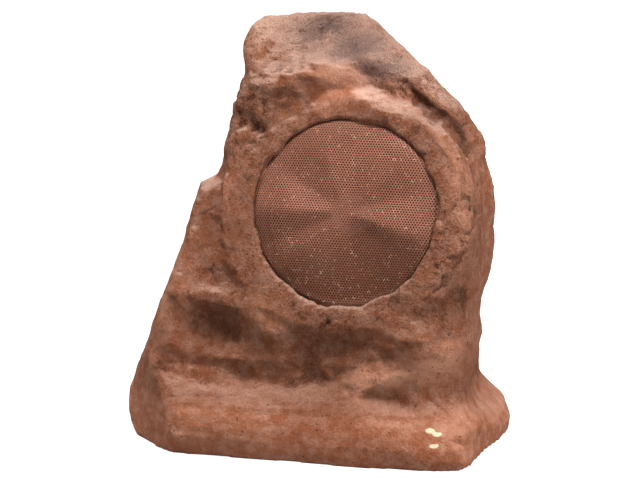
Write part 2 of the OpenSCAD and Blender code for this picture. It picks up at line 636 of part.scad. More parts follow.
// Windows round the basket's cone, turned clear of the screws, and the hole in its back over the pole
windows_n = 6;
window_turn = 30;
window_lean = 35;
basket_hole_share = 0.7;
module woofer_basket() {
    wall_r = cutout_d / 2 - fit;
    ledge_r = spider_d / 2;
    hole_r = basket_hole_share * (ledge_r - spider_lip_w);
    color([0.18, 0.18, 0.19]) on_face() difference() {
        rotate_extrude($fn = 96) polygon([
            [flange_inner_d / 2, flange_top_z], [flange_d / 2, flange_top_z], [flange_d / 2, flange_z],
            [wall_r, flange_z], [wall_r, baffle_back_z], [ledge_r + 2 * basket_t, ledge_z],
            [ledge_r + 2 * basket_t, gap_z], [hole_r, gap_z], [hole_r, gap_z + mount_t],
            [ledge_r - spider_lip_w, gap_z + mount_t], [ledge_r - spider_lip_w, ledge_z],
            [ledge_r + basket_t / 2, ledge_z], [wall_r - 1.5 * basket_t, baffle_back_z],
            [flange_inner_d / 2, flange_z]]);
        around(windows_n, (wall_r + ledge_r) / 2, window_turn)
            translate([0, 0, (ledge_z + baffle_back_z) / 2]) rotate([0, window_lean, 0])
                cube([4 * basket_t + cone_depth, 0.62 * ledge_r, 0.55 * cone_depth], center = true);
        around(woofer_screws_n, woofer_screw_r, woofer_screw_turn) translate([0, 0, flange_z - cut])
            cylinder(h = basket_t + 2 * cut, d = woofer_screw_d + 2 * fit);
    }
}

module woofer_screws() {
    color([0.1, 0.1, 0.1]) on_face() around(woofer_screws_n, woofer_screw_r, woofer_screw_turn)
        translate([0, 0, flange_top_z]) screw(woofer_screw_d, woofer_screw_l);
}

// Half roll of rubber between two flat lips
roll_r = (roll_outer_d - cone_d) / 4;
module woofer_surround() {
    mid_r = (roll_outer_d + cone_d) / 4;
    outer_lip_r = woofer_screw_r - woofer_screw_d - fit;
    color([0.07, 0.07, 0.07]) on_face() translate([0, 0, flange_top_z]) {
        rotate_extrude($fn = 96) translate([mid_r, 0]) difference() {
            circle(r = roll_r, $fn = 32);
            circle(r = roll_r - surround_t, $fn = 32);
            translate([-2 * roll_r, -2 * roll_r]) square([4 * roll_r, 2 * roll_r]);
        }
        rotate_extrude($fn = 96) translate([cone_d / 2 - cone_rim_w, 0])
            square([cone_rim_w + surround_t, surround_t]);
        rotate_extrude($fn = 96) translate([roll_outer_d / 2 - surround_t, 0])
            square([outer_lip_r - roll_outer_d / 2 + surround_t, surround_t]);
    }
}

module woofer_cone() {
    rim_r = cone_d / 2;
    neck_r = former_d / 2;
    color([0.12, 0.12, 0.13]) on_face() rotate_extrude($fn = 96) polygon([
        [neck_r, neck_z], [rim_r - cone_rim_w, cone_z], [rim_r, cone_z], [rim_r, cone_z + cone_t],
        [rim_r - cone_rim_w - cone_t / 2, cone_z + cone_t], [neck_r + cone_t / 2, neck_z + 1.5 * cone_t],
        [neck_r, neck_z + 1.5 * cone_t]]);
}

// Corrugated disc that centres the voice coil
spider_waves = 5;
spider_lip_w = 4;
module spider() {
    inner_r = former_d / 2;
    outer_r = spider_d / 2 - fit;
    wave_w = (outer_r - inner_r - 2 * spider_lip_w) / (2 * spider_waves);
    crests = [for (i = [0:2 * spider_waves])
        [inner_r + spider_lip_w + i * wave_w, i % 2 == 0 ? 0 : 2 * spider_t]];
    last = len(crests) - 1;
    color([0.75, 0.6, 0.3]) on_face() translate([0, 0, ledge_z]) rotate_extrude($fn = 96) polygon([
        [inner_r, 0], each crests, [outer_r, 0], [outer_r, spider_t],
        for (i = [last:-1:0]) crests[i] + [0, spider_t], [inner_r, spider_t]]);
}

module voice_coil_former() {
    color([0.55, 0.42, 0.25]) on_face() translate([0, 0, former_z])
        washer(former_d, former_d - 2 * former_t, neck_z + 3 * cone_t - former_z);
}
module voice_coil() {
    color([0.72, 0.42, 0.2]) on_face() translate([0, 0, former_z + fit])
        washer(former_d + 2 * coil_t, former_d, coil_l);
}
module top_plate() {
    color([0.5, 0.5, 0.52]) on_face() translate([0, 0, gap_z - top_plate_t])
        washer(magnet_d - 2 * magnet_step, former_d + 2 * coil_t + 2 * coil_gap, top_plate_t);
}
module magnet() {
    color([0.15, 0.15, 0.16]) on_face() translate([0, 0, magnet_z]) washer(magnet_d, magnet_hole_d, magnet_t);
}
module pole_yoke() {
    color([0.5, 0.5, 0.52]) on_face() translate([0, 0, magnet_z - yoke_t]) {
        cylinder(h = yoke_t, d = magnet_d - 2 * magnet_step);
        cylinder(h = gap_z - magnet_z + yoke_t, d = pole_d);
    }
}

// Strip with the driver's four tags, seated on the round wall of the basket
tags_n = 4;
tag_w = 4.8;
tag_t = 0.8;
tag_l = 8;
strip_l = 30;
strip_t = 3;
strip_r = spider_d / 2 + 2 * basket_t;
strip_h = ledge_z - gap_z;
module terminal_strip() {
    color([0.5, 0.35, 0.15]) on_face() rotate([0, 0, -90]) difference() {
        union() {
            translate([strip_r - strip_t, -strip_l / 2, gap_z]) cube([2 * strip_t, strip_l, strip_h]);
            for (i = [0:tags_n - 1])
                translate([strip_r + strip_t - cut, tag_y(i) - tag_w / 2, gap_z + strip_h / 2])
                    cube([tag_l + cut, tag_w, tag_t]);
        }
        translate([0, 0, gap_z - cut]) cylinder(h = strip_h + 2 * cut, r = strip_r);
    }
}
function tag_y(i) = (i - (tags_n - 1) / 2) * strip_l / tags_n;

/* Tweeter, on a post from the pole */
tweeter_h = 14;
tweeter_clearance = 11;
tweeter_back_z = cone_z - tweeter_clearance;
tweeter_z = tweeter_back_z + tweeter_h;
tweeter_post_d = 7;
tweeter_well = 4;
dome_d = 19;
dome_rise = 3.5;
dome_t = 0.5;
faceplate_t = 1.6;
module tweeter_post() {
    color([0.6, 0.6, 0.62]) on_face() translate([0, 0, gap_z])
        cylinder(h = tweeter_back_z - gap_z, d = tweeter_post_d);
}
module tweeter_housing() {
    color([0.1, 0.1, 0.11]) on_face() difference() {
        translate([0, 0, tweeter_back_z]) cylinder(h = tweeter_h, d = tweeter_d);
        translate([0, 0, tweeter_z - tweeter_well]) cylinder(h = tweeter_well + cut, d = dome_d);
    }
}
module tweeter_dome() {
    dome_r = (dome_d * dome_d / 4 + dome_rise * dome_rise) / (2 * dome_rise);
    color([0.08, 0.08, 0.085]) on_face() translate([0, 0, tweeter_z]) intersection() {
        cylinder(h = dome_rise + cut, d = dome_d + faceplate_t);
        translate([0, 0, dome_rise - dome_r]) difference() {
            sphere(r = dome_r, $fn = 96);
            sphere(r = dome_r - dome_t, $fn = 96);
        }
    }
}
module tweeter_faceplate() {
    color([0.08, 0.08, 0.08]) on_face() translate([0, 0, tweeter_z])
        washer(tweeter_d, dome_d + 2 * fit + faceplate_t, faceplate_t);
}

/* Crossover on the base plate: board, screws, inductors, capacitors, resistor and input terminal */
board_top_z = board_z + board_t;
module crossover_board() {
    color([0.1, 0.28, 0.14]) difference() {
        translate([board_x - board_l / 2, board_y - board_w / 2, board_z]) cube([board_l, board_w, board_t]);
        at_posts(board_z - cut) cylinder(h = board_t + 2 * cut, d = board_screw_d + 2 * fit);
    }
}
module crossover_screws() {
    color([0.6, 0.6, 0.62]) at_posts(board_top_z) screw(board_screw_d, board_screw_l);
}
// A place on the board, as shares of its half length and half width
module on_board(x, y)
    translate([board_x + x * board_l / 2, board_y + y * board_w / 2, board_top_z]) children();
bobbin_t = 1.5;
module inductor(d, h) {
    cylinder(h = bobbin_t, d = d);
    translate([0, 0, bobbin_t / 2]) cylinder(h = h - bobbin_t, d = d - bobbin_t);
    translate([0, 0, h - bobbin_t]) cylinder(h = bobbin_t, d = d);
}
module woofer_inductor() color([0.72, 0.4, 0.18]) on_board(-0.4, 0.1) inductor(coil_d, coil_d / 2);
module tweeter_inductor() color([0.72, 0.4, 0.18]) on_board(0.32, 0.62) inductor(0.65 * coil_d, 0.4 * coil_d);
module capacitors() {
    color([0.15, 0.2, 0.35]) for (y = [-0.02, -0.52])
        on_board(0.3, y) translate([-1.1 * capacitor_d, 0, capacitor_d / 2]) rotate([0, 90, 0])
            cylinder(h = 2.2 * capacitor_d, d = capacitor_d);
}
resistor_l = 22;
resistor_w = 8;
module resistor() color([0.85, 0.84, 0.8]) on_board(-0.38, -0.62)
    translate([-resistor_l / 2, -resistor_w / 2, 0]) cube([resistor_l, resistor_w, resistor_w]);
terminal_l = 20;
terminal_w = 10;
terminal_h = 11;
terminal_screw_d = 4;
terminal_hole_d = 3;
module input_terminal() {
    color([0.1, 0.3, 0.5]) on_board(-0.1, 0.78) difference() {
        translate([-terminal_l / 2, -terminal_w / 2, 0]) cube([terminal_l, terminal_w, terminal_h]);
        for (side = [-1, 1]) translate([side * terminal_l / 4, 0, terminal_h / 3]) {
            cylinder(h = terminal_h, d = terminal_screw_d);
            rotate([-90, 0, 0]) cylinder(h = terminal_w, d = terminal_hole_d);
        }
    }
}

/* Cable gland through the back wall */
module gland_body() {
    color([0.12, 0.12, 0.12]) on_gland() difference() {
        union() {
            cylinder(h = gland_flange_t, d = gland_hex_d, $fn = 6);
            translate([0, 0, -gland_wall_t - gland_nut_t - cut])
                cylinder(h = gland_wall_t + gland_nut_t + 2 * cut, d = gland_stem_d);
            cylinder(h = gland_flange_t + gland_neck_l, d = gland_neck_d);
        }
        translate([0, 0, -gland_wall_t - gland_nut_t - 2 * cut])
            cylinder(h = gland_wall_t + gland_nut_t + gland_flange_t + gland_neck_l, d = gland_bore_d);
        translate([0, 0, gland_flange_t + gland_neck_l - gland_seal_l])
            cylinder(h = gland_seal_l + cut, d = gland_seal_d);
    }
}
module gland_locknut() {
    color([0.12, 0.12, 0.12]) on_gland() translate([0, 0, -gland_wall_t - gland_nut_t]) difference() {
        cylinder(h = gland_nut_t, d = gland_hex_d, $fn = 6);
        translate([0, 0, -cut]) cylinder(h = gland_nut_t + 2 * cut, d = gland_stem_d + 2 * thread_gap);
    }
}
module gland_seal() {
    color([0.2, 0.2, 0.2]) on_gland() translate([0, 0, gland_flange_t + gland_neck_l - gland_seal_l])
        washer(gland_seal_d, cable_d, gland_seal_l);
}
module gland_cap() {
    color([0.12, 0.12, 0.12]) on_gland() translate([0, 0, gland_flange_t]) difference() {
        union() {
            cylinder(h = gland_neck_l, d = 1.15 * gland_cap_d, $fn = 6);
            translate([0, 0, gland_neck_l / 2]) cylinder(h = gland_neck_l / 2 + gland_cap_t, d = gland_cap_d);
        }
        translate([0, 0, -cut]) cylinder(h = gland_neck_l + cut, d = gland_neck_d + 2 * thread_gap);
        cylinder(h = gland_neck_l + gland_cap_t + cut, d = gland_bore_d);
    }
}

rock_shell();
base_plate();
base_seal();
base_screws();
grille();
grille_gasket();
grille_spacer();
baffle();
baffle_screws();
woofer_basket();
woofer_gasket();
woofer_screws();
woofer_surround();
woofer_cone();
spider();
voice_coil_former();
voice_coil();
top_plate();
magnet();
pole_yoke();
terminal_strip();
tweeter_post();
tweeter_housing();
tweeter_dome();
tweeter_faceplate();
crossover_board();
crossover_screws();
woofer_inductor();
tweeter_inductor();
capacitors();
resistor();
input_terminal();
gland_body();
gland_locknut();
gland_seal();
gland_cap();
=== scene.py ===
"""The looks of a rock shaped garden loudspeaker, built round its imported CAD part. Metres, +Z up, front towards -Y."""

import math

import bpy
import numpy as np
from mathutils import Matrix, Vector
from mathutils.bvhtree import BVHTree


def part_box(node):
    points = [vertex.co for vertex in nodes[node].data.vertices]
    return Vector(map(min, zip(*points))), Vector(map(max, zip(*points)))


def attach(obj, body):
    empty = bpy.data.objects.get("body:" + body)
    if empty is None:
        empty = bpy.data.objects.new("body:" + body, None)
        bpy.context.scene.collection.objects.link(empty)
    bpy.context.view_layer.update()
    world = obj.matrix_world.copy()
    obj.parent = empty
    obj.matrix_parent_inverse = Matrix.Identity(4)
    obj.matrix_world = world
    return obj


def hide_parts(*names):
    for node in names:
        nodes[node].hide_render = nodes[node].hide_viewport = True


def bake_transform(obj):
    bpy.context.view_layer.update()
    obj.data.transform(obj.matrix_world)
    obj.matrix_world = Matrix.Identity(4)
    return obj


MM = 0.001

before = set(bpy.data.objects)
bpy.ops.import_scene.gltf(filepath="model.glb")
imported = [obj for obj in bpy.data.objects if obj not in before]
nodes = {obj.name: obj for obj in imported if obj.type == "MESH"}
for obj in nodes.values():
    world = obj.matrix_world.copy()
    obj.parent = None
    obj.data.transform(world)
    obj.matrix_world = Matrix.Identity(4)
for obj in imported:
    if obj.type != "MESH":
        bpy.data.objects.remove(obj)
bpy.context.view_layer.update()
CABINET, CONE = "cabinet", "cone"

# The driver's axis: it leans back by TILT, and the grille's gasket is centred on it just behind the rock's lip.
TILT = math.radians(15)
LIP = 5 * MM
GASKET = 1.5 * MM
OUT = np.array([0, -math.cos(TILT), math.sin(TILT)])
UP = np.array([0, math.sin(TILT), math.cos(TILT)])
ACROSS = np.array([1.0, 0, 0])


def box_centre(node):
    low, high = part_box(node)
    return (np.array(low) + np.array(high)) / 2


FACE = box_centre("grille_gasket") + OUT * (LIP + GASKET / 2)


def face_coordinates(points):
    """Across, up and out of the grille's face, for points in the frame."""
    away = points - FACE
    return away @ ACROSS, away @ UP, away @ OUT


def outward(turn):
    """The direction away from the driver's axis at a turn in radians, from the right towards the top."""
    return math.cos(turn) * ACROSS + math.sin(turn) * UP


# Noise

# Large odd numbers that spread the cells along each axis, the seeds and the mixed result
AXIS_PRIMES = np.array([73856093, 19349663, 83492791])
SEED_PRIME = 2654435761
MIX_PRIME = 1274126177
HASH_TOP = 0xFFFFFF


def hashed(cells, seed):
    """A repeatable number from 0 to 1 for each integer cell."""
    h = (cells.astype(np.int64) * AXIS_PRIMES).sum(-1) + seed * SEED_PRIME
    h = (h ^ (h >> 13)) * MIX_PRIME
    h = (h ^ (h >> 16)) & HASH_TOP
    return h / float(HASH_TOP)


def value_noise(points, size, seed):
    """Smooth noise from -1 to 1 with lumps about size across."""
    p = points / size
    cell = np.floor(p)
    t = p - cell
    t = t * t * (3 - 2 * t)
    out = np.zeros(len(p))
    for corner in np.ndindex(2, 2, 2):
        weight = np.prod(np.where(np.array(corner), t, 1 - t), axis=1)
        out += weight * hashed(cell + np.array(corner), seed)
    return 2 * out - 1


def fractal(points, size, octaves, seed, gain=0.5):
    """Value noise in octaves, each half the size of the one before and lower by the gain."""
    total, height = np.zeros(len(points)), 1.0
    for i in range(octaves):
        total += height * value_noise(points, size / 2**i, seed + i)
        height *= gain
    return total


def nearest_seed(points, size, seed):
    """For each point: distances to the two nearest scattered seeds, and the nearest one's place and cell, in sizes."""
    p = points / size
    base = np.floor(p)
    first, second = np.full(len(p), 9.0), np.full(len(p), 9.0)
    place, own = np.zeros_like(p), np.zeros_like(p)
    for step in np.ndindex(3, 3, 3):
        cell = base + np.array(step) - 1
        jitter = np.stack([hashed(cell, seed + 11 * i) for i in range(3)], -1)
        at = cell + jitter
        gap = np.linalg.norm(p - at, axis=1)
        closer = gap < first
        second = np.where(closer, first, np.minimum(second, gap))
        place[closer], own[closer] = at[closer], cell[closer]
        first = np.where(closer, gap, first)
    return first, second, place, own


def chipped(points, size, seed):
    """Flat chips, each leaning its own way, about -1 to 1 high, with small steps between them."""
    bent = points + 0.3 * size * np.stack([fractal(points, 0.6 * size, 3, seed + 40 * i) for i in (1, 2, 3)], -1)
    first, second, place, own = nearest_seed(bent, size, seed)
    lean = np.stack([hashed(own, seed + 7 * i) for i in (1, 2, 3)], -1) - 0.5
    plane = ((bent / size - place) * lean).sum(-1) * 2 + (hashed(own, seed + 5) - 0.5) * 0.8
    crack = np.clip((second - first) / 0.12, 0, 1)
    return plane * 1.2 - 0.5 * (1 - crack)


def pitted(points, size, seed, share):
    """Small round pits, from 0 to -1, in a share of the scattered places."""
    first, _, _, own = nearest_seed(points, size, seed)
    return -np.where(hashed(own, seed + 3) < share, np.clip(1 - first / 0.35, 0, 1) ** 0.7, 0)


def smooth(start, end, value):
    """0 at the start and 1 at the end, which may be the lower of the two, with a soft rise between."""
    t = np.clip((value - start) / (end - start), 0, 1)
    return t * t * (3 - 2 * t)


def band(start, full, still_full, end, value):
    """1 from full to still_full, with a soft rise from the start and a soft fall to the end."""
    return smooth(start, full, value) * smooth(end, still_full, value)


# Meshes


def placed(name, data):
    """A new object in the scene."""
    made = bpy.data.objects.new(name, data)
    bpy.context.scene.collection.objects.link(made)
    return made


def new_object(name, points, faces, body=CABINET):
    """A smooth object from arrays of points and of faces that all have as many corners, riding on the body if given."""
    mesh = bpy.data.meshes.new(name)
    mesh.vertices.add(len(points))
    mesh.vertices.foreach_set("co", np.asarray(points, np.float32).ravel())
    sides = faces.shape[1]
    mesh.loops.add(faces.size)
    mesh.loops.foreach_set("vertex_index", faces.astype(np.int32).ravel())
    mesh.polygons.add(len(faces))
    mesh.polygons.foreach_set("loop_start", np.arange(len(faces), dtype=np.int32) * sides)
    mesh.update(calc_edges=True)
    mesh.validate()
    mesh.polygons.foreach_set("use_smooth", np.full(len(mesh.polygons), True))
    made = placed(name, mesh)
    if body:
        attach(made, body)
    return made


def triangles_of(node):
    """Corners of a CAD node's triangles, in the frame, as an array of triangles by corner by axis."""
    mesh = nodes[node].data
    mesh.calc_loop_triangles()
    corners = np.empty(3 * len(mesh.vertices), np.float32)
    mesh.vertices.foreach_get("co", corners)
    which = np.empty(3 * len(mesh.loop_triangles), np.int32)
    mesh.loop_triangles.foreach_get("vertices", which)
    world = np.array(nodes[node].matrix_world)
    corners = corners.reshape(-1, 3) @ world[:3, :3].T + world[:3, 3]
    return corners[which].reshape(-1, 3, 3)


def voxel_copy(node, size):
    """The node's surface as an even grid: its points, its faces of four corners, and the normals at its points."""
    mesh = nodes[node].data.copy()
    mesh.transform(nodes[node].matrix_world)
    copy = placed("voxels", mesh)
    remesh = copy.modifiers.new("voxels", "REMESH")
    remesh.mode, remesh.voxel_size = "VOXEL", size
    bpy.context.view_layer.update()
    made = bpy.data.meshes.new_from_object(copy.evaluated_get(bpy.context.evaluated_depsgraph_get()))
    points = np.empty(3 * len(made.vertices), np.float32)
    made.vertices.foreach_get("co", points)
    normals = np.empty(3 * len(made.vertices), np.float32)
    made.vertex_normals.foreach_get("vector", normals)
    faces = np.array([tuple(f.vertices) for f in made.polygons if len(f.vertices) == 4])
    bpy.data.objects.remove(copy)
    bpy.data.meshes.remove(made)
    return points.reshape(-1, 3).astype(float), faces, normals.reshape(-1, 3).astype(float)


def kept_only(points, faces, keep):
    """The faces whose corners are all kept, with the points renumbered, and which points those are."""
    faces = faces[keep[faces].all(axis=1)]
    used = np.unique(faces)
    number = np.full(len(points), -1)
    number[used] = np.arange(len(used))
    return number[faces], used


# The rock's skin

VOXEL = 1.8 * MM
BASE_RECESS = 7.5 * MM
# The driver's opening: the radius of the disc that closes it for sight lines, and the radius that its wall lies in.
BLOCKER_R = 0.083
LIP_R = 0.084
# Half the side of the slab that closes the base recess for sight lines
SLAB_HALF = 0.2
# The upright line that sight lines run sideways from
MIDDLE = (0.01, 0.005)
# How far past the gland's seal its pocket reaches sideways, and how deep it is.
POCKET_HALF = 0.0175
POCKET_DEPTH = 0.0125
# The rock's shapes fade out towards the floor between these heights, so that it stands on its rim.
FLOOR_FADE = (0.002, 0.016)

# Roughness of the plain rock, its change on the foot, the height where the foot starts, and the limits of
# roughness and grain.
PLAIN_ROUGHNESS = 0.62
TOE_ROUGHNESS = -0.4
TOE_Z = 0.055
ROUGHNESS_LIMITS = (0.15, 1.9)
GRAIN_LIMITS = (0.25, 2.2)
# Places where the rock is rougher or smoother than its sides: centre, reach, and change of roughness.
ROUGHNESS = [
    ((-0.045, -0.060, 0.285), 0.040, 1.1),
    ((-0.060, -0.105, 0.135), 0.035, 0.6),
    ((0.020, -0.108, 0.122), 0.040, 0.6),
    ((0.110, -0.030, 0.290), 0.050, 0.5),
    ((0.000, -0.020, 0.345), 0.060, 0.9),
    ((0.135, -0.080, 0.190), 0.045, 0.8),
    ((0.120, -0.100, 0.130), 0.035, 0.7),
    ((0.030, -0.070, 0.312), 0.028, -0.4),
    ((0.010, -0.070, 0.300), 0.036, -0.5),
    ((0.020, -0.110, 0.085), 0.040, 0.3),
]
# Patches painted darker as painted shade, in the hollows, under the shelf over the foot, in the groove and on the left
# face: centre, reach along each axis, and strength.
PAINTED_SHADE_PATCHES = [
    ((-0.068, -0.105, 0.107), (0.034, 0.05, 0.022), 0.5),
    ((-0.020, -0.105, 0.088), (0.080, 0.05, 0.018), 0.2),
    ((0.050, -0.110, 0.108), (0.060, 0.05, 0.018), 0.25),
    ((0.110, -0.100, 0.130), (0.040, 0.06, 0.018), 0.35),
    ((-0.078, -0.090, 0.190), (0.030, 0.05, 0.060), 0.3),
    ((0.076, -0.120, 0.056), (0.016, 0.04, 0.008), 0.3),
    ((0.108, -0.040, 0.282), (0.022, 0.05, 0.016), 0.4),
]
# The grey patch over the brow: centre and reach along each axis.
GREYS = [
    ((0.005, -0.02, 0.350), (0.03, 0.04, 0.02)),
    ((0.035, -0.035, 0.336), (0.028, 0.05, 0.018)),
    ((0.058, -0.048, 0.322), (0.028, 0.04, 0.014)),
]
# Knocks that bared the pale resin on the foot: centre and reach along each axis.
SCUFFS = [
    ((0.1175, -0.12, 0.034), (0.004, 0.03, 0.002)),
    ((0.1240, -0.12, 0.031), (0.004, 0.03, 0.0018)),
    ((0.1220, -0.12, 0.0225), (0.0045, 0.03, 0.002)),
]
# The small hole knocked in under the grille, whose inside is also painted dark as painted shade: centre, reach along
# each axis, and depth in millimetres.
HOLE = (0.0306, -0.116, 0.118)
HOLE_REACH = (2.4 * MM, 12 * MM, 2.4 * MM)
HOLE_DEPTH = 3.5

# The two crests beside the groove down the right shoulder
INNER_CREST = [(0.0795, -0.056, 0.307), (0.087, -0.059, 0.292), (0.115, -0.076, 0.268), (0.130, -0.080, 0.245)]
OUTER_CREST = [(0.097, -0.048, 0.305), (0.1134, -0.048, 0.2906), (0.1244, -0.0385, 0.273), (0.1355, -0.004, 0.247)]
# Crests and creases over the rock's main forms: points along them in metres, reach and push in millimetres.
CARVINGS = [
    # Brow over the grille, the crease under it, and the even band under both
    (
        [(-0.038, -0.068, 0.294), (-0.020, -0.066, 0.312), (-0.002, -0.064, 0.3165), (0.016, -0.064, 0.3195),
            (0.031, -0.057, 0.320), (0.047, -0.049, 0.311), (0.064, -0.053, 0.309), (0.078, -0.056, 0.310)],
        9, 2.2,
    ),
    ([(-0.040, -0.068, 0.279), (-0.022, -0.066, 0.298)], 7, -1.2),
    ([(-0.030, -0.066, 0.300), (-0.014, -0.066, 0.306), (0.006, -0.066, 0.3095), (0.026, -0.064, 0.309)], 10, 2.4),
    # Groove down the right shoulder, deepest at its top, between its two crests
    ([(0.080, -0.056, 0.309), (0.095, -0.055, 0.298), (0.108, -0.050, 0.285)], 11, -4.0),
    ([(0.084, -0.056, 0.305), (0.102, -0.053, 0.2925), (0.121, -0.042, 0.271), (0.132, -0.026, 0.252)], 13, -3.2),
    (INNER_CREST, 5, 1.8),
    (OUTER_CREST, 7, 2.2),
    # Knobs on the right shoulder
    ([(0.097, -0.035, 0.322), (0.099, -0.015, 0.326)], 10, 3.5),
    ([(0.121, -0.020, 0.298), (0.122, 0.0, 0.300)], 9, 3.0),
    # Rounded corner between the face and the right side
    ([(0.135, -0.078, 0.240), (0.1406, -0.087, 0.220), (0.143, -0.095, 0.180), (0.138, -0.098, 0.140)], 13, -3.0),
    # Corner under the left peak
    ([(-0.040, -0.030, 0.350), (-0.0444, -0.0384, 0.3366), (-0.0496, -0.051, 0.3235), (-0.048, -0.062, 0.300)], 8, 1.8),
    # Pit at the upper left
    ([(-0.044, -0.071, 0.274), (-0.036, -0.072, 0.268)], 8, -3.5),
    # Ragged ledges at the upper left
    ([(-0.058, -0.07, 0.262), (-0.036, -0.07, 0.283), (-0.006, -0.066, 0.297)], 6, 1.8),
    ([(-0.054, -0.07, 0.254), (-0.030, -0.073, 0.274), (0.0, -0.07, 0.288)], 5, -1.6),
    # Crease over the foot, the ramp that climbs from it, the low line over the ramp, and the notch under it
    (
        [(-0.118, -0.108, 0.068), (-0.081, -0.111, 0.061), (-0.049, -0.1115, 0.057), (-0.0165, -0.110, 0.061),
            (0.010, -0.107, 0.063), (0.035, -0.111, 0.069)],
        7, -2.2,
    ),
    ([(0.044, -0.111, 0.064), (0.069, -0.1105, 0.070), (0.1064, -0.109, 0.085), (0.132, -0.091, 0.093)], 12, 2.2),
    ([(0.055, -0.111, 0.060), (0.090, -0.107, 0.071), (0.125, -0.095, 0.082)], 22, 3.5),
    (
        [(0.035, -0.111, 0.0735), (0.044, -0.111, 0.0755), (0.078, -0.114, 0.092), (0.1085, -0.119, 0.105),
            (0.129, -0.098, 0.109)],
        9, -2.2,
    ),
    ([(0.063, -0.109, 0.0565), (0.076, -0.109, 0.055), (0.0917, -0.109, 0.053)], 9, -2.0),
    # Hollow at the left
    ([(-0.083, -0.1015, 0.104), (-0.066, -0.1015, 0.1)], 24, -2.4),
    # Left peak
    ([(-0.053, -0.030, 0.342), (-0.051, -0.008, 0.347)], 20, 9.0),
    # Front right corner of the foot
    ([(0.146, -0.100, 0.008), (0.147, -0.090, 0.035)], 24, 4.0),
    # Ridge over the hollow
    ([(-0.100, -0.109, 0.133), (-0.082, -0.107, 0.1317), (-0.037, -0.111, 0.1325), (0.007, -0.1156, 0.117)], 9, 1.6),
    # Rim of the front face, down the left edge
    (
        [(-0.0895, -0.060, 0.219), (-0.093, -0.0916, 0.183), (-0.0994, -0.110, 0.135), (-0.110, -0.109, 0.0996),
            (-0.133, -0.094, 0.053)],
        8, 2.0,
    ),
]
# Share of a carving's push that also goes into the relief values, which the material paints darker in the low parts as
# painted shade and paler on the raised parts
CARVING_TINT = 0.3
# Edges and slopes that rubbed pale, with the ramp painted pale as a painted highlight: points along them, reach in
# millimetres and strength.
WORN_AND_HIGHLIT = [
    (INNER_CREST, 3, 0.8),
    (OUTER_CREST, 6, 0.6),
    # Brow
    ([(0.016, -0.064, 0.3195), (0.031, -0.057, 0.320), (0.047, -0.049, 0.311), (0.078, -0.056, 0.310)], 6, 0.3),
    # Ramp, painted pale as a painted highlight on its slope
    ([(0.055, -0.111, 0.068), (0.090, -0.107, 0.080), (0.125, -0.095, 0.090)], 20, 0.9),
    # Left rim
    ([(-0.133, -0.1, 0.053), (-0.12, -0.105, 0.09), (-0.108, -0.1, 0.14), (-0.105, -0.09, 0.17)], 9, 0.5),
    # Left peak
    ([(-0.058, -0.034, 0.349), (-0.0496, -0.051, 0.3235)], 10, 0.4),
    # Right edge of the face
    ([(0.135, -0.078, 0.240), (0.1406, -0.087, 0.220), (0.143, -0.095, 0.180), (0.138, -0.098, 0.150)], 18, 0.6),
]
# Lines waver by this much, and count distance along the depth less than across it.
LINE_WAVER = 2.5 * MM
LINE_AXES = (1, 0.4, 1)

# The opening's wall: the radii between which it starts and ends, how far it leans inward for its depth, and how
# ragged it is.
WALL_START = (0.070, 0.074)
WALL_END = (0.086, 0.082)
LIP_LEAN = 0.45
RAGGED = 1.3 * MM
# Push in millimetres that levels the low ground beside the opening's edge and over it
SIDE_FILL = 5.5
BROW_FILL = 2.6
# Faces whose normal points further back than this are left as the solid has them.
FORWARD = (0.4, 0.1)
# The gland's side of the rock lies behind this.
BACK_Y = 0.05


def opening_blockers():
    """A disc across the opening and a slab over the base recess, which stop sight lines into the hollow."""
    turns = np.linspace(0, 2 * math.pi, 24, endpoint=False)
    disc = [FACE - OUT * LIP / 2 + BLOCKER_R * outward(t) for t in turns]
    sides = ((-1, -1), (1, -1), (1, 1), (-1, 1))
    slab = [np.array([x * SLAB_HALF, y * SLAB_HALF, BASE_RECESS]) for x, y in sides]
    return disc, slab


def outside_triangles(corners):
    """Which of the shell's triangles are seen from outside, and the tree that finds the one nearest to a point."""
    points = corners.reshape(-1, 3)
    polygons = [(3 * i, 3 * i + 1, 3 * i + 2) for i in range(len(corners))]
    disc, slab = opening_blockers()
    n = len(points)
    blocked_points = [*map(Vector, points), *map(Vector, disc), *map(Vector, slab)]
    blockers = [tuple(range(n, n + len(disc))), tuple(range(n + len(disc), n + len(disc) + len(slab)))]
    sight = BVHTree.FromPolygons(blocked_points, polygons + blockers)
    middles = corners.mean(axis=1)
    normals = np.cross(corners[:, 1] - corners[:, 0], corners[:, 2] - corners[:, 0])
    normals /= np.maximum(np.linalg.norm(normals, axis=1, keepdims=True), 1e-12)
    seen = np.zeros(len(corners), bool)
    for i, (middle, normal) in enumerate(zip(middles, normals)):
        sideways = Vector((middle[0] - MIDDLE[0], middle[1] - MIDDLE[1], 0)).normalized()
        for way in (Vector(normal), sideways):
            if way.dot(Vector(normal)) > 0.02 and sight.ray_cast(Vector(middle) + way * 0.3 * MM, way)[0] is None:
                seen[i] = True
                break
    x, y, z = face_coordinates(middles)
    seen |= (np.hypot(x, y) < LIP_R) & (z > -LIP - 1 * MM) & (z < 0.02)
    gland = box_centre("gland_seal")
    pocket = (np.abs(middles[:, 0] - gland[0]) < POCKET_HALF) & (np.abs(middles[:, 2] - gland[2]) < POCKET_HALF)
    seen |= pocket & (middles[:, 1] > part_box("gland_body")[1][1] - POCKET_DEPTH)
    seen |= middles[:, 2] < BASE_RECESS - 1 * MM
    return seen, BVHTree.FromPolygons([Vector(p) for p in points], polygons)


def near(points, centre, reach):
    """1 at the centre, and falling off over the reach, which may differ along each axis."""
    return np.exp(-(np.linalg.norm((points - np.array(centre)) / np.array(reach), axis=1) ** 2))


def rock_roughness(points):
    """How much of the rock's shapes each point has."""
    rough = PLAIN_ROUGHNESS + TOE_ROUGHNESS * smooth(TOE_Z, 0.7 * TOE_Z, points[:, 2])
    for centre, reach, change in ROUGHNESS:
        rough += change * near(points, centre, reach)
    return np.clip(rough, *ROUGHNESS_LIMITS)


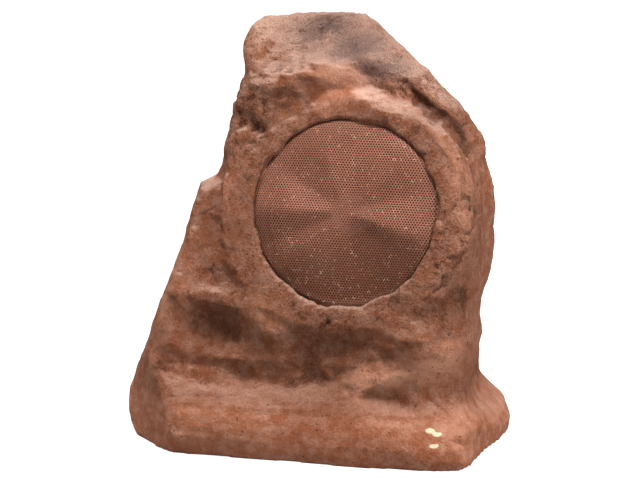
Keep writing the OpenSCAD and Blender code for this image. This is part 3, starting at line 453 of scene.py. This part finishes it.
def along_lines(points, lines):
    """For each line, its strength with how close each point is to it, from 0 at its reach to 1 on it."""
    bent = points + LINE_WAVER * np.stack([fractal(points, 0.012, 2, 300 + i) for i in range(3)], -1)
    for line, reach, strength in lines:
        away = np.full(len(points), 1.0)
        for a, b in zip(np.array(line), np.array(line[1:])):
            along = np.clip((bent - a) @ (b - a) / ((b - a) @ (b - a)), 0, 1)
            away = np.minimum(away, np.linalg.norm((bent - a - along[:, None] * (b - a)) * LINE_AXES, axis=1))
        yield strength, np.clip(1 - away / (reach * MM), 0, 1)


def slumped(points):
    """The wall of the rough opening, leaning inward towards the grille."""
    x, y, z = face_coordinates(points)
    r = np.hypot(x, y)
    wall = smooth(*WALL_END, r)
    inward = LIP_LEAN * np.clip(-z, 0, LIP) * wall * (r > WALL_START[0]) * (z > -2 * LIP)
    ragged = RAGGED * fractal(points, 0.011, 3, 200) * wall * smooth(*WALL_START, r) * (np.abs(z) < 2 * LIP)
    way = (x[:, None] * ACROSS + y[:, None] * UP) / np.maximum(r, MM)[:, None]
    return points - way * (inward + ragged)[:, None]


def levelled(x, y, z):
    """How far the low ground beside the opening and under the brow is raised along the face's axis, in millimetres."""
    r = np.hypot(x, y)
    beside = smooth(0, -0.05, x) * smooth(-0.075, -0.045, y) * band(0.098, 0.110, 0.112, 0.138, r)
    over = smooth(0.05, 0.09, y) * band(0.112, 0.127, 0.129, 0.146, r)
    return (SIDE_FILL * beside + BROW_FILL * over) * smooth(0.05, 0.03, np.abs(z))


def calmness(points):
    """Share of the shapes that is kept: little behind the lip, where the grille sits, and none beside the gland."""
    x, y, z = face_coordinates(points)
    behind_lip = smooth(0.084, 0.078, np.hypot(x, y)) * smooth(-LIP * 0.3, -LIP * 0.8, z)
    gland = box_centre("gland_seal")
    from_gland = np.maximum(np.abs(points[:, 0] - gland[0]), np.abs(points[:, 2] - gland[2]))
    beside_gland = np.where(points[:, 1] < BACK_Y, 1.0, smooth(0.016, 0.022, from_gland))
    return (1 - behind_lip * 0.8) * beside_gland


def rock_skin():
    """The rock's outside as an even grid, with its chips, carvings and grain, and the values that colour it."""
    corners = triangles_of("rock_shell")
    seen, tree = outside_triangles(corners)
    points, faces, normals = voxel_copy("rock_shell", VOXEL)
    keep = np.array([seen[tree.find_nearest(Vector(p))[2]] for p in points])
    faces, used = kept_only(points, faces, keep)
    points, normals = points[used], normals[used]
    x, y, z = face_coordinates(points)
    rough = rock_roughness(points)
    near_lip = smooth(0.100, 0.084, np.hypot(x, y)) * smooth(0.03, 0.01, np.abs(z))
    hole = near(points, HOLE, HOLE_REACH)
    # Chips, lumps and pits in millimetres, with more grain round the opening
    relief = 0.7 * chipped(points, 0.026, 1) + 0.6 * chipped(points, 0.011, 50)
    relief += 0.7 * fractal(points, 0.016, 3, 90) + 0.8 * pitted(points, 0.012, 120, 0.25)
    relief *= rough
    relief += near_lip * (0.55 * fractal(points, 0.008, 3, 150) + 0.4 * chipped(points, 0.009, 160))
    relief -= HOLE_DEPTH * hole
    off_floor = smooth(*FLOOR_FADE, points[:, 2])
    relief *= off_floor
    forward = smooth(*FORWARD, normals[:, 1])
    carving = forward * sum(push * close for push, close in along_lines(points, CARVINGS))
    # Rubbed edges, and the painted highlight on the ramp
    worn = forward * np.max([strength * close for strength, close in along_lines(points, WORN_AND_HIGHLIT)], axis=0)
    calm = calmness(points)
    sideways = normals * np.stack([np.ones(len(points)), np.ones(len(points)), off_floor], -1)
    moved = slumped(points) + sideways * ((relief + carving) * calm)[:, None] * MM
    moved += OUT * (forward * levelled(x, y, z))[:, None] * MM
    moved[:, 2] = np.maximum(moved[:, 2], 0)
    skin = new_object("rock_skin", moved, faces)
    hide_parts("rock_shell")
    # Painted shade: the patches above and the small hole, darker in the colour
    shade_patches = [strength * near(points, centre, reach) for centre, reach, strength in PAINTED_SHADE_PATCHES]
    painted = {
        "relief": (relief + CARVING_TINT * carving) * calm / 2,
        "grey": np.max([near(points, centre, reach) for centre, reach in GREYS], axis=0),
        "shade": np.max([hole] + shade_patches, axis=0),
        "scuff": sum(near(points, centre, reach) for centre, reach in SCUFFS),
        "worn": worn,
        "grain": np.clip(0.05 + 1.3 * rough + near_lip, *GRAIN_LIMITS),
    }
    for name, values in painted.items():
        skin.data.attributes.new(name, "FLOAT", "POINT").data.foreach_set("value", values.astype(np.float32))
    return skin


# The grille: a pleated sheet with staggered holes

HOLE_PITCH = 2.35 * MM
HOLE_RADIUS = 0.92 * MM
SHEET = 0.7 * MM
SHEET_R = 82.2 * MM
# Cells whose middle is nearer than this to the sheet's edge have no hole.
CLOSED_RIM = 2 * HOLE_PITCH
# Corners closer together than this are one point.
WELD = 0.02 * MM
# Height of the flat rim's front over the rock's face
RIM_HEIGHT = -(LIP + GASKET)
DOME = 8 * MM
PLEAT = 8 * MM
# The pleats round the sheet: turn in degrees, and share of the full pleat. Each fold is softened over three turns.
PLEATS = [
    (-16, 1), (16, 0), (41, 0.65), (74, 0), (110, 0.75), (148, -0.1), (181, 1), (206, -0.1), (227, 0.65), (240, 0.2),
    (264, -0.4), (288, -0.7), (304, -0.5), (324, 0), (344, 1),
]
FOLD_TURNS = (-3, 0, 3)
# From the middle outwards: share of the sheet's radius, and shares of the full dome and of the pleats there.
RINGS = [
    (0, 1, 0), (0.07, 1, 0), (0.3, 0.95, 0.6), (0.55, 0.8, 0.95), (0.78, 0.56, 0.9), (0.88, 0.38, 0.7),
    (0.92, 0.32, 0.4), (0.945, 0.12, 0.1), (0.96, 0, 0), (1.2, 0, 0),
]


def sheet_height(x, y):
    """Height of the sheet's front over its flat rim."""
    share = np.hypot(x, y) / SHEET_R
    ring, dome, pleat = zip(*RINGS)
    angle, height = zip(*PLEATS)
    total = np.zeros(len(x))
    for turn in FOLD_TURNS:
        a = (np.degrees(np.arctan2(y, x)) + turn - angle[0]) % 360 + angle[0]
        total += np.interp(a, angle, height) / len(FOLD_TURNS)
    return DOME * np.interp(share, ring, dome) + PLEAT * total * np.interp(share, ring, pleat)


def perforated_sheet():
    """Points and faces of the grille's sheet: six-sided cells, each with a hole that goes through the sheet."""
    turns = np.radians(60 * np.arange(6) + 30)
    round_hex = np.stack([np.cos(turns), np.sin(turns)], -1)
    row_pitch = HOLE_PITCH * math.sqrt(0.75)
    rows = int(SHEET_R / row_pitch) + 2
    points, faces, number = [], [], {}

    def corner(x, y, depth):
        key = (round(x / WELD), round(y / WELD), depth)
        if key not in number:
            number[key] = len(points)
            points.append((x, y, -SHEET * depth))
        return number[key]

    for j in range(-rows, rows + 1):
        for i in range(-rows - 1, rows + 2):
            centre = np.array([HOLE_PITCH * (i + 0.5 * (j % 2)), row_pitch * j])
            r = np.hypot(*centre)
            if r > SHEET_R:
                continue
            cell = centre + round_hex * HOLE_PITCH / math.sqrt(3)
            rim = [corner(*p, 0) for p in cell]
            if r > SHEET_R - CLOSED_RIM:
                middle = corner(*centre, 0)
                faces += [(rim[k], rim[(k + 1) % 6], middle, middle) for k in range(6)]
                continue
            hole = centre + round_hex * HOLE_RADIUS
            top = [corner(*p, 0) for p in hole]
            low = [corner(*p, 1) for p in hole]
            for k in range(6):
                n = (k + 1) % 6
                faces += [(rim[k], rim[n], top[n], top[k]), (top[k], top[n], low[n], low[k])]
    flat = np.array(points)
    flat[:, 2] += RIM_HEIGHT + sheet_height(flat[:, 0], flat[:, 1])
    solid = FACE + flat[:, :1] * ACROSS + flat[:, 1:2] * UP + flat[:, 2:] * OUT
    return solid, faces


def grille_sheet():
    """The grille as it is seen: the perforated sheet, with flat faces."""
    solid, faces = perforated_sheet()
    mesh = bpy.data.meshes.new("grille_mesh")
    mesh.from_pydata([tuple(p) for p in solid], [], [tuple(dict.fromkeys(f)) for f in faces])
    mesh.update()
    made = placed("grille_sheet", mesh)
    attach(made, CABINET)
    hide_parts("grille")
    return made


# The surround and the spider: rings of sectors between the basket and the cone

SECTORS = 20
SECTOR_STEPS = 4
# Heights over the rock's face in millimetres: the basket's flange, and its ledge for the spider
FLANGE_TOP = -24.4
LEDGE = -52


def surround_profile():
    """Outline of the surround's section, as radius and height in millimetres: a half roll between two lips."""
    outer, inner, outer_lip, inner_lip, thick = 67.85, 58.05, 72.3, 55.05, 0.8
    middle, roll = (outer + inner) / 2, (outer - inner) / 2
    turns = np.linspace(0, math.pi, 13)
    over = [(middle + roll * math.cos(t), roll * math.sin(t)) for t in turns]
    under = [(middle + (roll - thick) * math.cos(t), (roll - thick) * math.sin(t)) for t in turns[::-1]]
    over = [(outer_lip, thick)] + [(r, max(z, thick)) for r, z in over] + [(inner_lip, thick)]
    return [(r, z + FLANGE_TOP) for r, z in over + [(inner_lip, 0)] + under + [(outer_lip, 0)]]


def spider_profile():
    """Outline of the spider's section, in millimetres: rounded corrugations between two flat lips."""
    inner, outer, lip, waves, half_wave, thick = 12.9, 41.5, 4, 5, 0.7, 0.7
    across = np.linspace(inner + lip, outer - lip, 61)
    turn = (across - inner - lip) / (outer - inner - 2 * lip) * waves * 2 * math.pi
    wave = half_wave * (1 - np.cos(turn))
    line = [(outer, 0.0), *zip(across[::-1], wave[::-1]), (inner, 0.0)]
    return [(r, z + thick + LEDGE) for r, z in line] + [(r, z + LEDGE) for r, z in line[::-1]]


def bending_ring(node, profile, material):
    """A ring of sectors with the profile round the driver's axis, made in place of the node."""
    n = len(profile)
    starts = [(i * n, (i + 1) * n) for i in range(SECTOR_STEPS)]
    faces = np.array([(a + j, a + (j + 1) % n, b + (j + 1) % n, b + j) for a, b in starts for j in range(n)])
    for k in range(SECTORS):
        turns = (k + np.arange(SECTOR_STEPS + 1) / SECTOR_STEPS) * 2 * math.pi / SECTORS
        points = [FACE + r * MM * outward(t) + z * MM * OUT for t in turns for r, z in profile]
        piece = new_object(f"{node}_{k:02d}", points, faces, body=None)
        piece.data.materials.append(material)
        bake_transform(piece)
        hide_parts(node)


# Materials

# Where a colour mix node has its share, its two colours and its result
MIX_SOCKETS = (0, 6, 7)
MIX_RESULT = 2


class NodeTree:
    """A tree of shader nodes, built by short calls."""

    def __init__(self, tree):
        self.tree = tree

    def node(self, kind, **values):
        made = self.tree.nodes.new(kind)
        for name, value in values.items():
            setattr(made, name, value)
        return made

    def link(self, source, target):
        self.tree.links.new(source, target)

    def put(self, value, socket):
        """Sets the socket to a number or a colour, or links it to another socket."""
        if isinstance(value, (int, float)):
            socket.default_value = value
        elif isinstance(value, tuple):
            socket.default_value = (*value, 1)
        else:
            self.link(value, socket)

    def maths(self, operation, a, b):
        made = self.node("ShaderNodeMath", operation=operation)
        for socket, value in zip(made.inputs, (a, b)):
            self.put(value, socket)
        return made.outputs[0]

    def looked_at(self):
        """1 for what the eye sees directly, in gloss or through glass, and 0 for what only lights other things."""
        ray = self.node("ShaderNodeLightPath")
        seen = self.maths("MAXIMUM", ray.outputs["Is Camera Ray"], ray.outputs["Is Glossy Ray"])
        return self.maths("MAXIMUM", seen, ray.outputs["Is Transmission Ray"])


class Shader(NodeTree):
    """A material's node tree."""

    def __init__(self, name):
        self.material = bpy.data.materials.new(name)
        self.material.use_nodes = True
        super().__init__(self.material.node_tree)
        self.surface = self.tree.nodes["Principled BSDF"]
        self.place = self.node("ShaderNodeTexCoord").outputs["Object"]

    def noise(self, size, detail, roughness):
        made = self.node("ShaderNodeTexNoise")
        made.inputs["Scale"].default_value = 1 / size
        made.inputs["Detail"].default_value = detail
        made.inputs["Roughness"].default_value = roughness
        self.link(self.place, made.inputs["Vector"])
        return made.outputs["Fac"]

    def cells(self, size):
        """Distance to the nearest of the places scattered about size apart, as a share of the size."""
        made = self.node("ShaderNodeTexVoronoi", feature="F1")
        made.inputs["Scale"].default_value = 1 / size
        self.link(self.place, made.inputs["Vector"])
        return made.outputs["Distance"]

    def attribute(self, name):
        return self.node("ShaderNodeAttribute", attribute_name=name).outputs["Fac"]

    def upright(self, vector):
        """The part of a vector along +Z."""
        split = self.node("ShaderNodeSeparateXYZ")
        self.link(vector, split.inputs[0])
        return split.outputs["Z"]

    def height(self):
        return self.upright(self.place)

    def upward(self):
        return self.upright(self.node("ShaderNodeNewGeometry").outputs["Normal"])

    def step(self, value, start, end, full=None):
        """0 where the value is at the start and 1, or full, where it is at the end, with a soft rise between."""
        made = self.node("ShaderNodeMapRange", interpolation_type="SMOOTHSTEP", clamp=True)
        made.inputs["From Min"].default_value = start
        made.inputs["From Max"].default_value = end
        self.link(value, made.inputs["Value"])
        share = made.outputs["Result"]
        return share if full is None else self.maths("MULTIPLY", share, full)

    def mix(self, share, a, b):
        made = self.node("ShaderNodeMix", data_type="RGBA")
        for socket, value in zip([made.inputs[i] for i in MIX_SOCKETS], (share, a, b)):
            self.put(value, socket)
        return made.outputs[MIX_RESULT]

    def bump(self, heights):
        """Bumps from pairs of a height and its full rise in metres."""
        last = None
        for height, rise in heights:
            made = self.node("ShaderNodeBump")
            made.inputs["Distance"].default_value = rise
            self.link(height, made.inputs["Height"])
            if last is not None:
                self.link(last, made.inputs["Normal"])
            last = made.outputs["Normal"]
        self.link(last, self.surface.inputs["Normal"])


def srgb(r, g, b):
    """The linear values that shaders use for a colour as it is seen on a screen, 0 to 255."""
    return tuple(c / 255 / 12.92 if c <= 10 else ((c / 255 + 0.055) / 1.055) ** 2.4 for c in (r, g, b))


# The rock's stain colours, what shows through them, and the colours of its painted shade and light
PALE = srgb(230, 186, 165)
BROWN = srgb(160, 100, 71)
RUST = srgb(149, 86, 57)
DEEP = srgb(70, 38, 25)
UMBER = srgb(92, 51, 32)
GREY = srgb(122, 98, 90)
CREAM = srgb(212, 164, 135)
ROSE = srgb(212, 149, 118)
CHALK = srgb(206, 190, 160)


def rock_material():
    """Stained resin: brown blotches under the stain, worn edges and grain that the skin's attributes place, and painted
    shade and light.
    """
    s = Shader("stained_resin_rock")
    relief = s.attribute("relief")
    grain = s.attribute("grain")
    specks = s.noise(0.0016, 3, 0.7)
    pits = s.step(s.cells(0.0075), 0.13, 0.07)
    # Painted light: faces that look up are painted paler, less so low down
    painted_top_light = s.maths("ADD", s.step(s.height(), 0.05, 0.16, 0.6), 0.2)
    scuffs = s.maths("ADD", s.attribute("scuff"), s.maths("MULTIPLY", s.noise(0.003, 3, 0.6), 0.6))
    colour = s.mix(s.step(s.noise(0.055, 5, 0.6), 0.3, 0.7), BROWN, RUST)
    # From the first to the last, each covers the ones before it
    for share, tint in (
        (s.step(s.noise(0.012, 8, 0.75), 0.4, 0.66, 0.3), PALE),
        # Painted shade: the low parts near the floor darker
        (s.step(s.height(), 0.085, 0.05, 0.3), UMBER),
        # Painted light from above on the faces that look up
        (s.step(s.upward(), 0.4, 0.95, painted_top_light), PALE),
        (s.step(s.noise(0.03, 5, 0.65), 0.25, 0.5, s.attribute("grey")), GREY),
        # Rubbed edges, and the painted highlight on the ramp, from the skin's attribute
        (s.step(s.noise(0.008, 4, 0.65), 0.25, 0.5, s.attribute("worn")), ROSE),
        # Painted shade: the low parts of the relief darker
        (s.step(relief, -0.25, -0.9, 0.6), DEEP),
        (s.step(relief, 0.2, 1.0, 0.25), CREAM),
        (s.step(specks, 0.52, 0.68, s.maths("MULTIPLY", grain, 0.25)), ROSE),
        (s.step(specks, 0.48, 0.34, s.maths("MULTIPLY", grain, 0.28)), DEEP),
        (s.attribute("shade"), UMBER),
        # Painted shade: the pits darker, as the shade inside them
        (s.maths("MULTIPLY", pits, 0.6), DEEP),
        (s.step(scuffs, 0.72, 0.85), CHALK),
    ):
        colour = s.mix(share, colour, tint)
    s.link(colour, s.surface.inputs["Base Color"])
    s.surface.inputs["Roughness"].default_value = 0.9
    s.surface.inputs["Specular IOR Level"].default_value = 0.08
    rises = ((s.noise(0.007, 8, 0.8), 0.0046), (s.noise(0.0024, 4, 0.7), 0.0070), (specks, 0.0026))
    s.bump([(s.maths("MULTIPLY", height, grain), rise) for height, rise in rises] + [(pits, -0.0012)])
    return s.material


def grille_material():
    """Paint sprayed on steel, rubbed pale in small spots, with painted shade that darkens it towards the bottom."""
    s = Shader("sprayed_steel_grille")
    colour = s.mix(s.step(s.noise(0.03, 4, 0.6), 0.35, 0.65), srgb(133, 85, 65), srgb(121, 75, 56))
    # Painted shade: the lower part of the dome darker
    colour = s.mix(s.step(s.height(), 0.215, 0.15, 0.95), colour, UMBER)
    colour = s.mix(s.step(s.noise(0.003, 3, 0.6), 0.55, 0.75, 0.3), colour, PALE)
    s.link(colour, s.surface.inputs["Base Color"])
    s.surface.inputs["Roughness"].default_value = 0.6
    s.surface.inputs["Specular IOR Level"].default_value = 0.2
    s.bump([(s.noise(0.0006, 2, 0.6), 0.00005)])
    return s.material


def plain_material(name, colour, other, roughness, metallic=0.0, grain=0.0012, rise=0.00005, coat=0.0, specular=0.5):
    """A fine-grained moulded, painted or metal surface, a little uneven in colour."""
    s = Shader(name)
    worn = s.step(s.noise(20 * grain, 4, 0.6), 0.35, 0.7)
    s.link(s.mix(worn, colour, other), s.surface.inputs["Base Color"])
    s.surface.inputs["Roughness"].default_value = roughness
    s.surface.inputs["Metallic"].default_value = metallic
    s.surface.inputs["Coat Weight"].default_value = coat
    s.surface.inputs["Specular IOR Level"].default_value = specular
    s.bump([(s.noise(grain, 3, 0.6), rise)])
    return s.material


def brushed_material(name, colour, other, roughness):
    """Turned or plated metal with fine rings of tool marks."""
    s = Shader(name)
    marks = s.node("ShaderNodeTexWave", wave_type="RINGS", rings_direction="Z")
    marks.inputs["Scale"].default_value = 900
    marks.inputs["Distortion"].default_value = 2
    s.link(s.place, marks.inputs["Vector"])
    s.link(s.mix(s.step(s.noise(0.012, 4, 0.6), 0.35, 0.7), colour, other), s.surface.inputs["Base Color"])
    s.surface.inputs["Roughness"].default_value = roughness
    s.surface.inputs["Metallic"].default_value = 1
    s.bump([(marks.outputs["Fac"], 0.00002)])
    return s.material


def woven_material(name, colour, other):
    """Resin-dipped cloth."""
    s = Shader(name)
    threads = [s.node("ShaderNodeTexWave", bands_direction=axis) for axis in ("X", "Z")]
    for wave in threads:
        wave.inputs["Scale"].default_value = 400
        s.link(s.place, wave.inputs["Vector"])
    weave = s.maths("MULTIPLY", threads[0].outputs["Fac"], threads[1].outputs["Fac"])
    s.link(s.mix(weave, other, colour), s.surface.inputs["Base Color"])
    s.surface.inputs["Roughness"].default_value = 0.8
    s.bump([(weave, 0.0002)])
    return s.material


black_plastic = plain_material("black_plastic", srgb(34, 30, 28), srgb(44, 39, 36), 0.55)
base_plastic = plain_material("base_plastic", srgb(48, 41, 36), srgb(62, 54, 47), 0.7, rise=0.0001, specular=0.3)
foam_rubber = plain_material("foam_rubber", srgb(20, 20, 20), srgb(30, 29, 28), 0.95, grain=0.0006, rise=0.0002)
butyl_rubber = plain_material("butyl_rubber", srgb(26, 22, 19), srgb(34, 29, 26), 0.6, specular=0.3)
cone_plastic = plain_material("cone_plastic", srgb(32, 26, 22), srgb(40, 34, 29), 0.55, specular=0.25)
painted_steel = plain_material("painted_steel", srgb(28, 24, 22), srgb(38, 33, 30), 0.45, coat=0.2)
steel = brushed_material("plated_steel", srgb(176, 176, 178), srgb(150, 150, 150), 0.35)
turned_aluminium = brushed_material("turned_aluminium", srgb(196, 196, 198), srgb(176, 176, 176), 0.3)
dark_silk = woven_material("dark_silk", srgb(30, 29, 30), srgb(18, 18, 18))
ferrite = plain_material("ferrite", srgb(44, 44, 47), srgb(58, 57, 58), 0.6, rise=0.0001)
copper_wire = brushed_material("enamelled_copper", srgb(196, 108, 62), srgb(150, 78, 44), 0.35)
tagged_strip = plain_material("fibre_strip", srgb(150, 116, 66), srgb(122, 90, 50), 0.6)
board_resin = plain_material("board_resin", srgb(34, 88, 52), srgb(28, 72, 44), 0.4, coat=0.3)
blue_sleeve = plain_material("blue_sleeve", srgb(40, 52, 92), srgb(34, 44, 80), 0.35, coat=0.3)
cement = plain_material("cement", srgb(206, 203, 192), srgb(186, 182, 170), 0.85, rise=0.0002)
terminal_plastic = plain_material("terminal_plastic", srgb(30, 84, 130), srgb(26, 72, 112), 0.45)
dipped_cloth = woven_material("dipped_cloth", srgb(176, 138, 74), srgb(120, 88, 42))

FINISHES = {
    base_plastic: ["base_plate", "baffle"],
    black_plastic: [
        "grille_spacer", "tweeter_housing", "tweeter_faceplate", "gland_body", "gland_locknut", "gland_cap",
    ],
    foam_rubber: ["base_seal", "grille_gasket", "woofer_gasket"],
    butyl_rubber: ["woofer_surround", "gland_seal"],
    cone_plastic: ["woofer_cone"],
    painted_steel: ["woofer_basket", "woofer_screws"],
    steel: ["base_screws", "baffle_screws", "crossover_screws", "top_plate", "pole_yoke"],
    turned_aluminium: ["tweeter_post", "voice_coil_former"],
    dark_silk: ["tweeter_dome"],
    ferrite: ["magnet"],
    copper_wire: ["voice_coil", "woofer_inductor", "tweeter_inductor"],
    tagged_strip: ["terminal_strip"],
    board_resin: ["crossover_board"],
    blue_sleeve: ["capacitors"],
    cement: ["resistor"],
    terminal_plastic: ["input_terminal"],
    dipped_cloth: ["spider"],
}
for material, names in FINISHES.items():
    for name in names:
        for material_slot in nodes[name].material_slots:
            material_slot.material = material

bending_ring("woofer_surround", surround_profile(), butyl_rubber)
bending_ring("spider", spider_profile(), dipped_cloth)

skin = rock_skin()
skin.data.materials.append(rock_material())
grille_sheet().data.materials.append(grille_material())


# The studio: a pale floor, soft lamps and a camera at the photograph's angle

FLOOR_R = 30.0
PAPER = (0.35, 0.35, 0.35, 1)
WHITE = (1, 1, 1, 1)
# The paper's own glow beside the object, where its shadow falls, and far from it
GLOW_NEAR, GLOW_FAR = 0.8, 1.0
NEAR_R, FAR_R = 0.5, 1.6


def paper_material():
    """White paper that glows to the eye and in reflections, so that it looks white but lights nothing."""
    s = Shader("white_paper")
    s.surface.inputs["Base Color"].default_value = PAPER
    s.surface.inputs["Roughness"].default_value = 0.9
    away = s.node("ShaderNodeVectorMath", operation="LENGTH")
    s.link(s.place, away.inputs[0])
    glow = s.maths("ADD", s.step(away.outputs["Value"], NEAR_R, FAR_R, GLOW_FAR - GLOW_NEAR), GLOW_NEAR)
    s.link(s.maths("MULTIPLY", s.looked_at(), glow), s.surface.inputs["Emission Strength"])
    s.surface.inputs["Emission Color"].default_value = WHITE
    return s.material


def floor():
    """A round sheet of paper, wide enough to reach the horizon."""
    mesh = bpy.data.meshes.new("floor")
    turns = np.linspace(0, 2 * math.pi, 48, endpoint=False)
    mesh.from_pydata([(FLOOR_R * math.cos(t), FLOOR_R * math.sin(t), 0) for t in turns], [], [tuple(range(len(turns)))])
    mesh.materials.append(paper_material())
    made = placed("floor", mesh)


def sky(ambient):
    """A world that lights the object evenly and a little, and looks white."""
    world = bpy.data.worlds.new("studio")
    bpy.context.scene.world = world
    world.use_nodes = True
    s = NodeTree(world.node_tree)
    background = s.tree.nodes["Background"]
    background.inputs["Color"].default_value = WHITE
    strength = s.node("ShaderNodeMapRange")
    strength.inputs["To Min"].default_value = ambient
    s.link(s.looked_at(), strength.inputs["Value"])
    s.link(strength.outputs["Result"], background.inputs["Strength"])


def lamp(name, place, target, size, power):
    """A round soft lamp that faces the target."""
    data = bpy.data.lights.new(name, "AREA")
    data.shape, data.size, data.energy = "DISK", size, power
    made = placed(name, data)
    made.location = place
    made.rotation_euler = (Vector(target) - Vector(place)).to_track_quat("-Z", "Y").to_euler()


def camera(azimuth, elevation, distance, target, pixels_per_metre, target_pixel, image=(640, 480)):
    """A camera that sees the target at the given pixel and scale, turned to it rather than shifted."""
    a, e = math.radians(azimuth), math.radians(elevation)
    right = Vector((math.cos(a), math.sin(a), 0))
    ahead = Vector((-math.sin(a) * math.cos(e), math.cos(a) * math.cos(e), -math.sin(e)))
    up = right.cross(ahead)
    data = bpy.data.cameras.new("camera")
    data.sensor_width = 36
    data.lens = pixels_per_metre * distance * data.sensor_width / image[0]
    middle = Vector(target) + right * (image[0] / 2 - target_pixel[0]) / pixels_per_metre
    middle -= up * (image[1] / 2 - target_pixel[1]) / pixels_per_metre
    made = placed("camera", data)
    made.location = Vector(target) - ahead * distance
    made.rotation_euler = (middle - made.location).to_track_quat("-Z", "Y").to_euler()
    bpy.context.scene.camera = made


floor()
lamp("overhead", place=(0.2, -0.55, 1.8), target=(0, 0, 0.15), size=0.6, power=60)
lamp("front", place=(0.5, -2.2, 0.25), target=(0, 0, 0.1), size=0.8, power=10)
lamp("right", place=(1.7, -0.6, 0.8), target=(0, 0, 0.2), size=0.8, power=35)
lamp("left", place=(-1.7, -0.3, 0.8), target=(0, 0, 0.15), size=0.8, power=14)
lamp("back", place=(-0.6, 1.9, 1.1), target=(0, 0, 0.15), size=0.8, power=16)
sky(ambient=0.1)
camera(
    azimuth=14, elevation=11, distance=1.9, target=(0, 0, 0.181), pixels_per_metre=1150, target_pixel=(326, 220)
)
bpy.context.scene.view_settings.view_transform = "Standard"
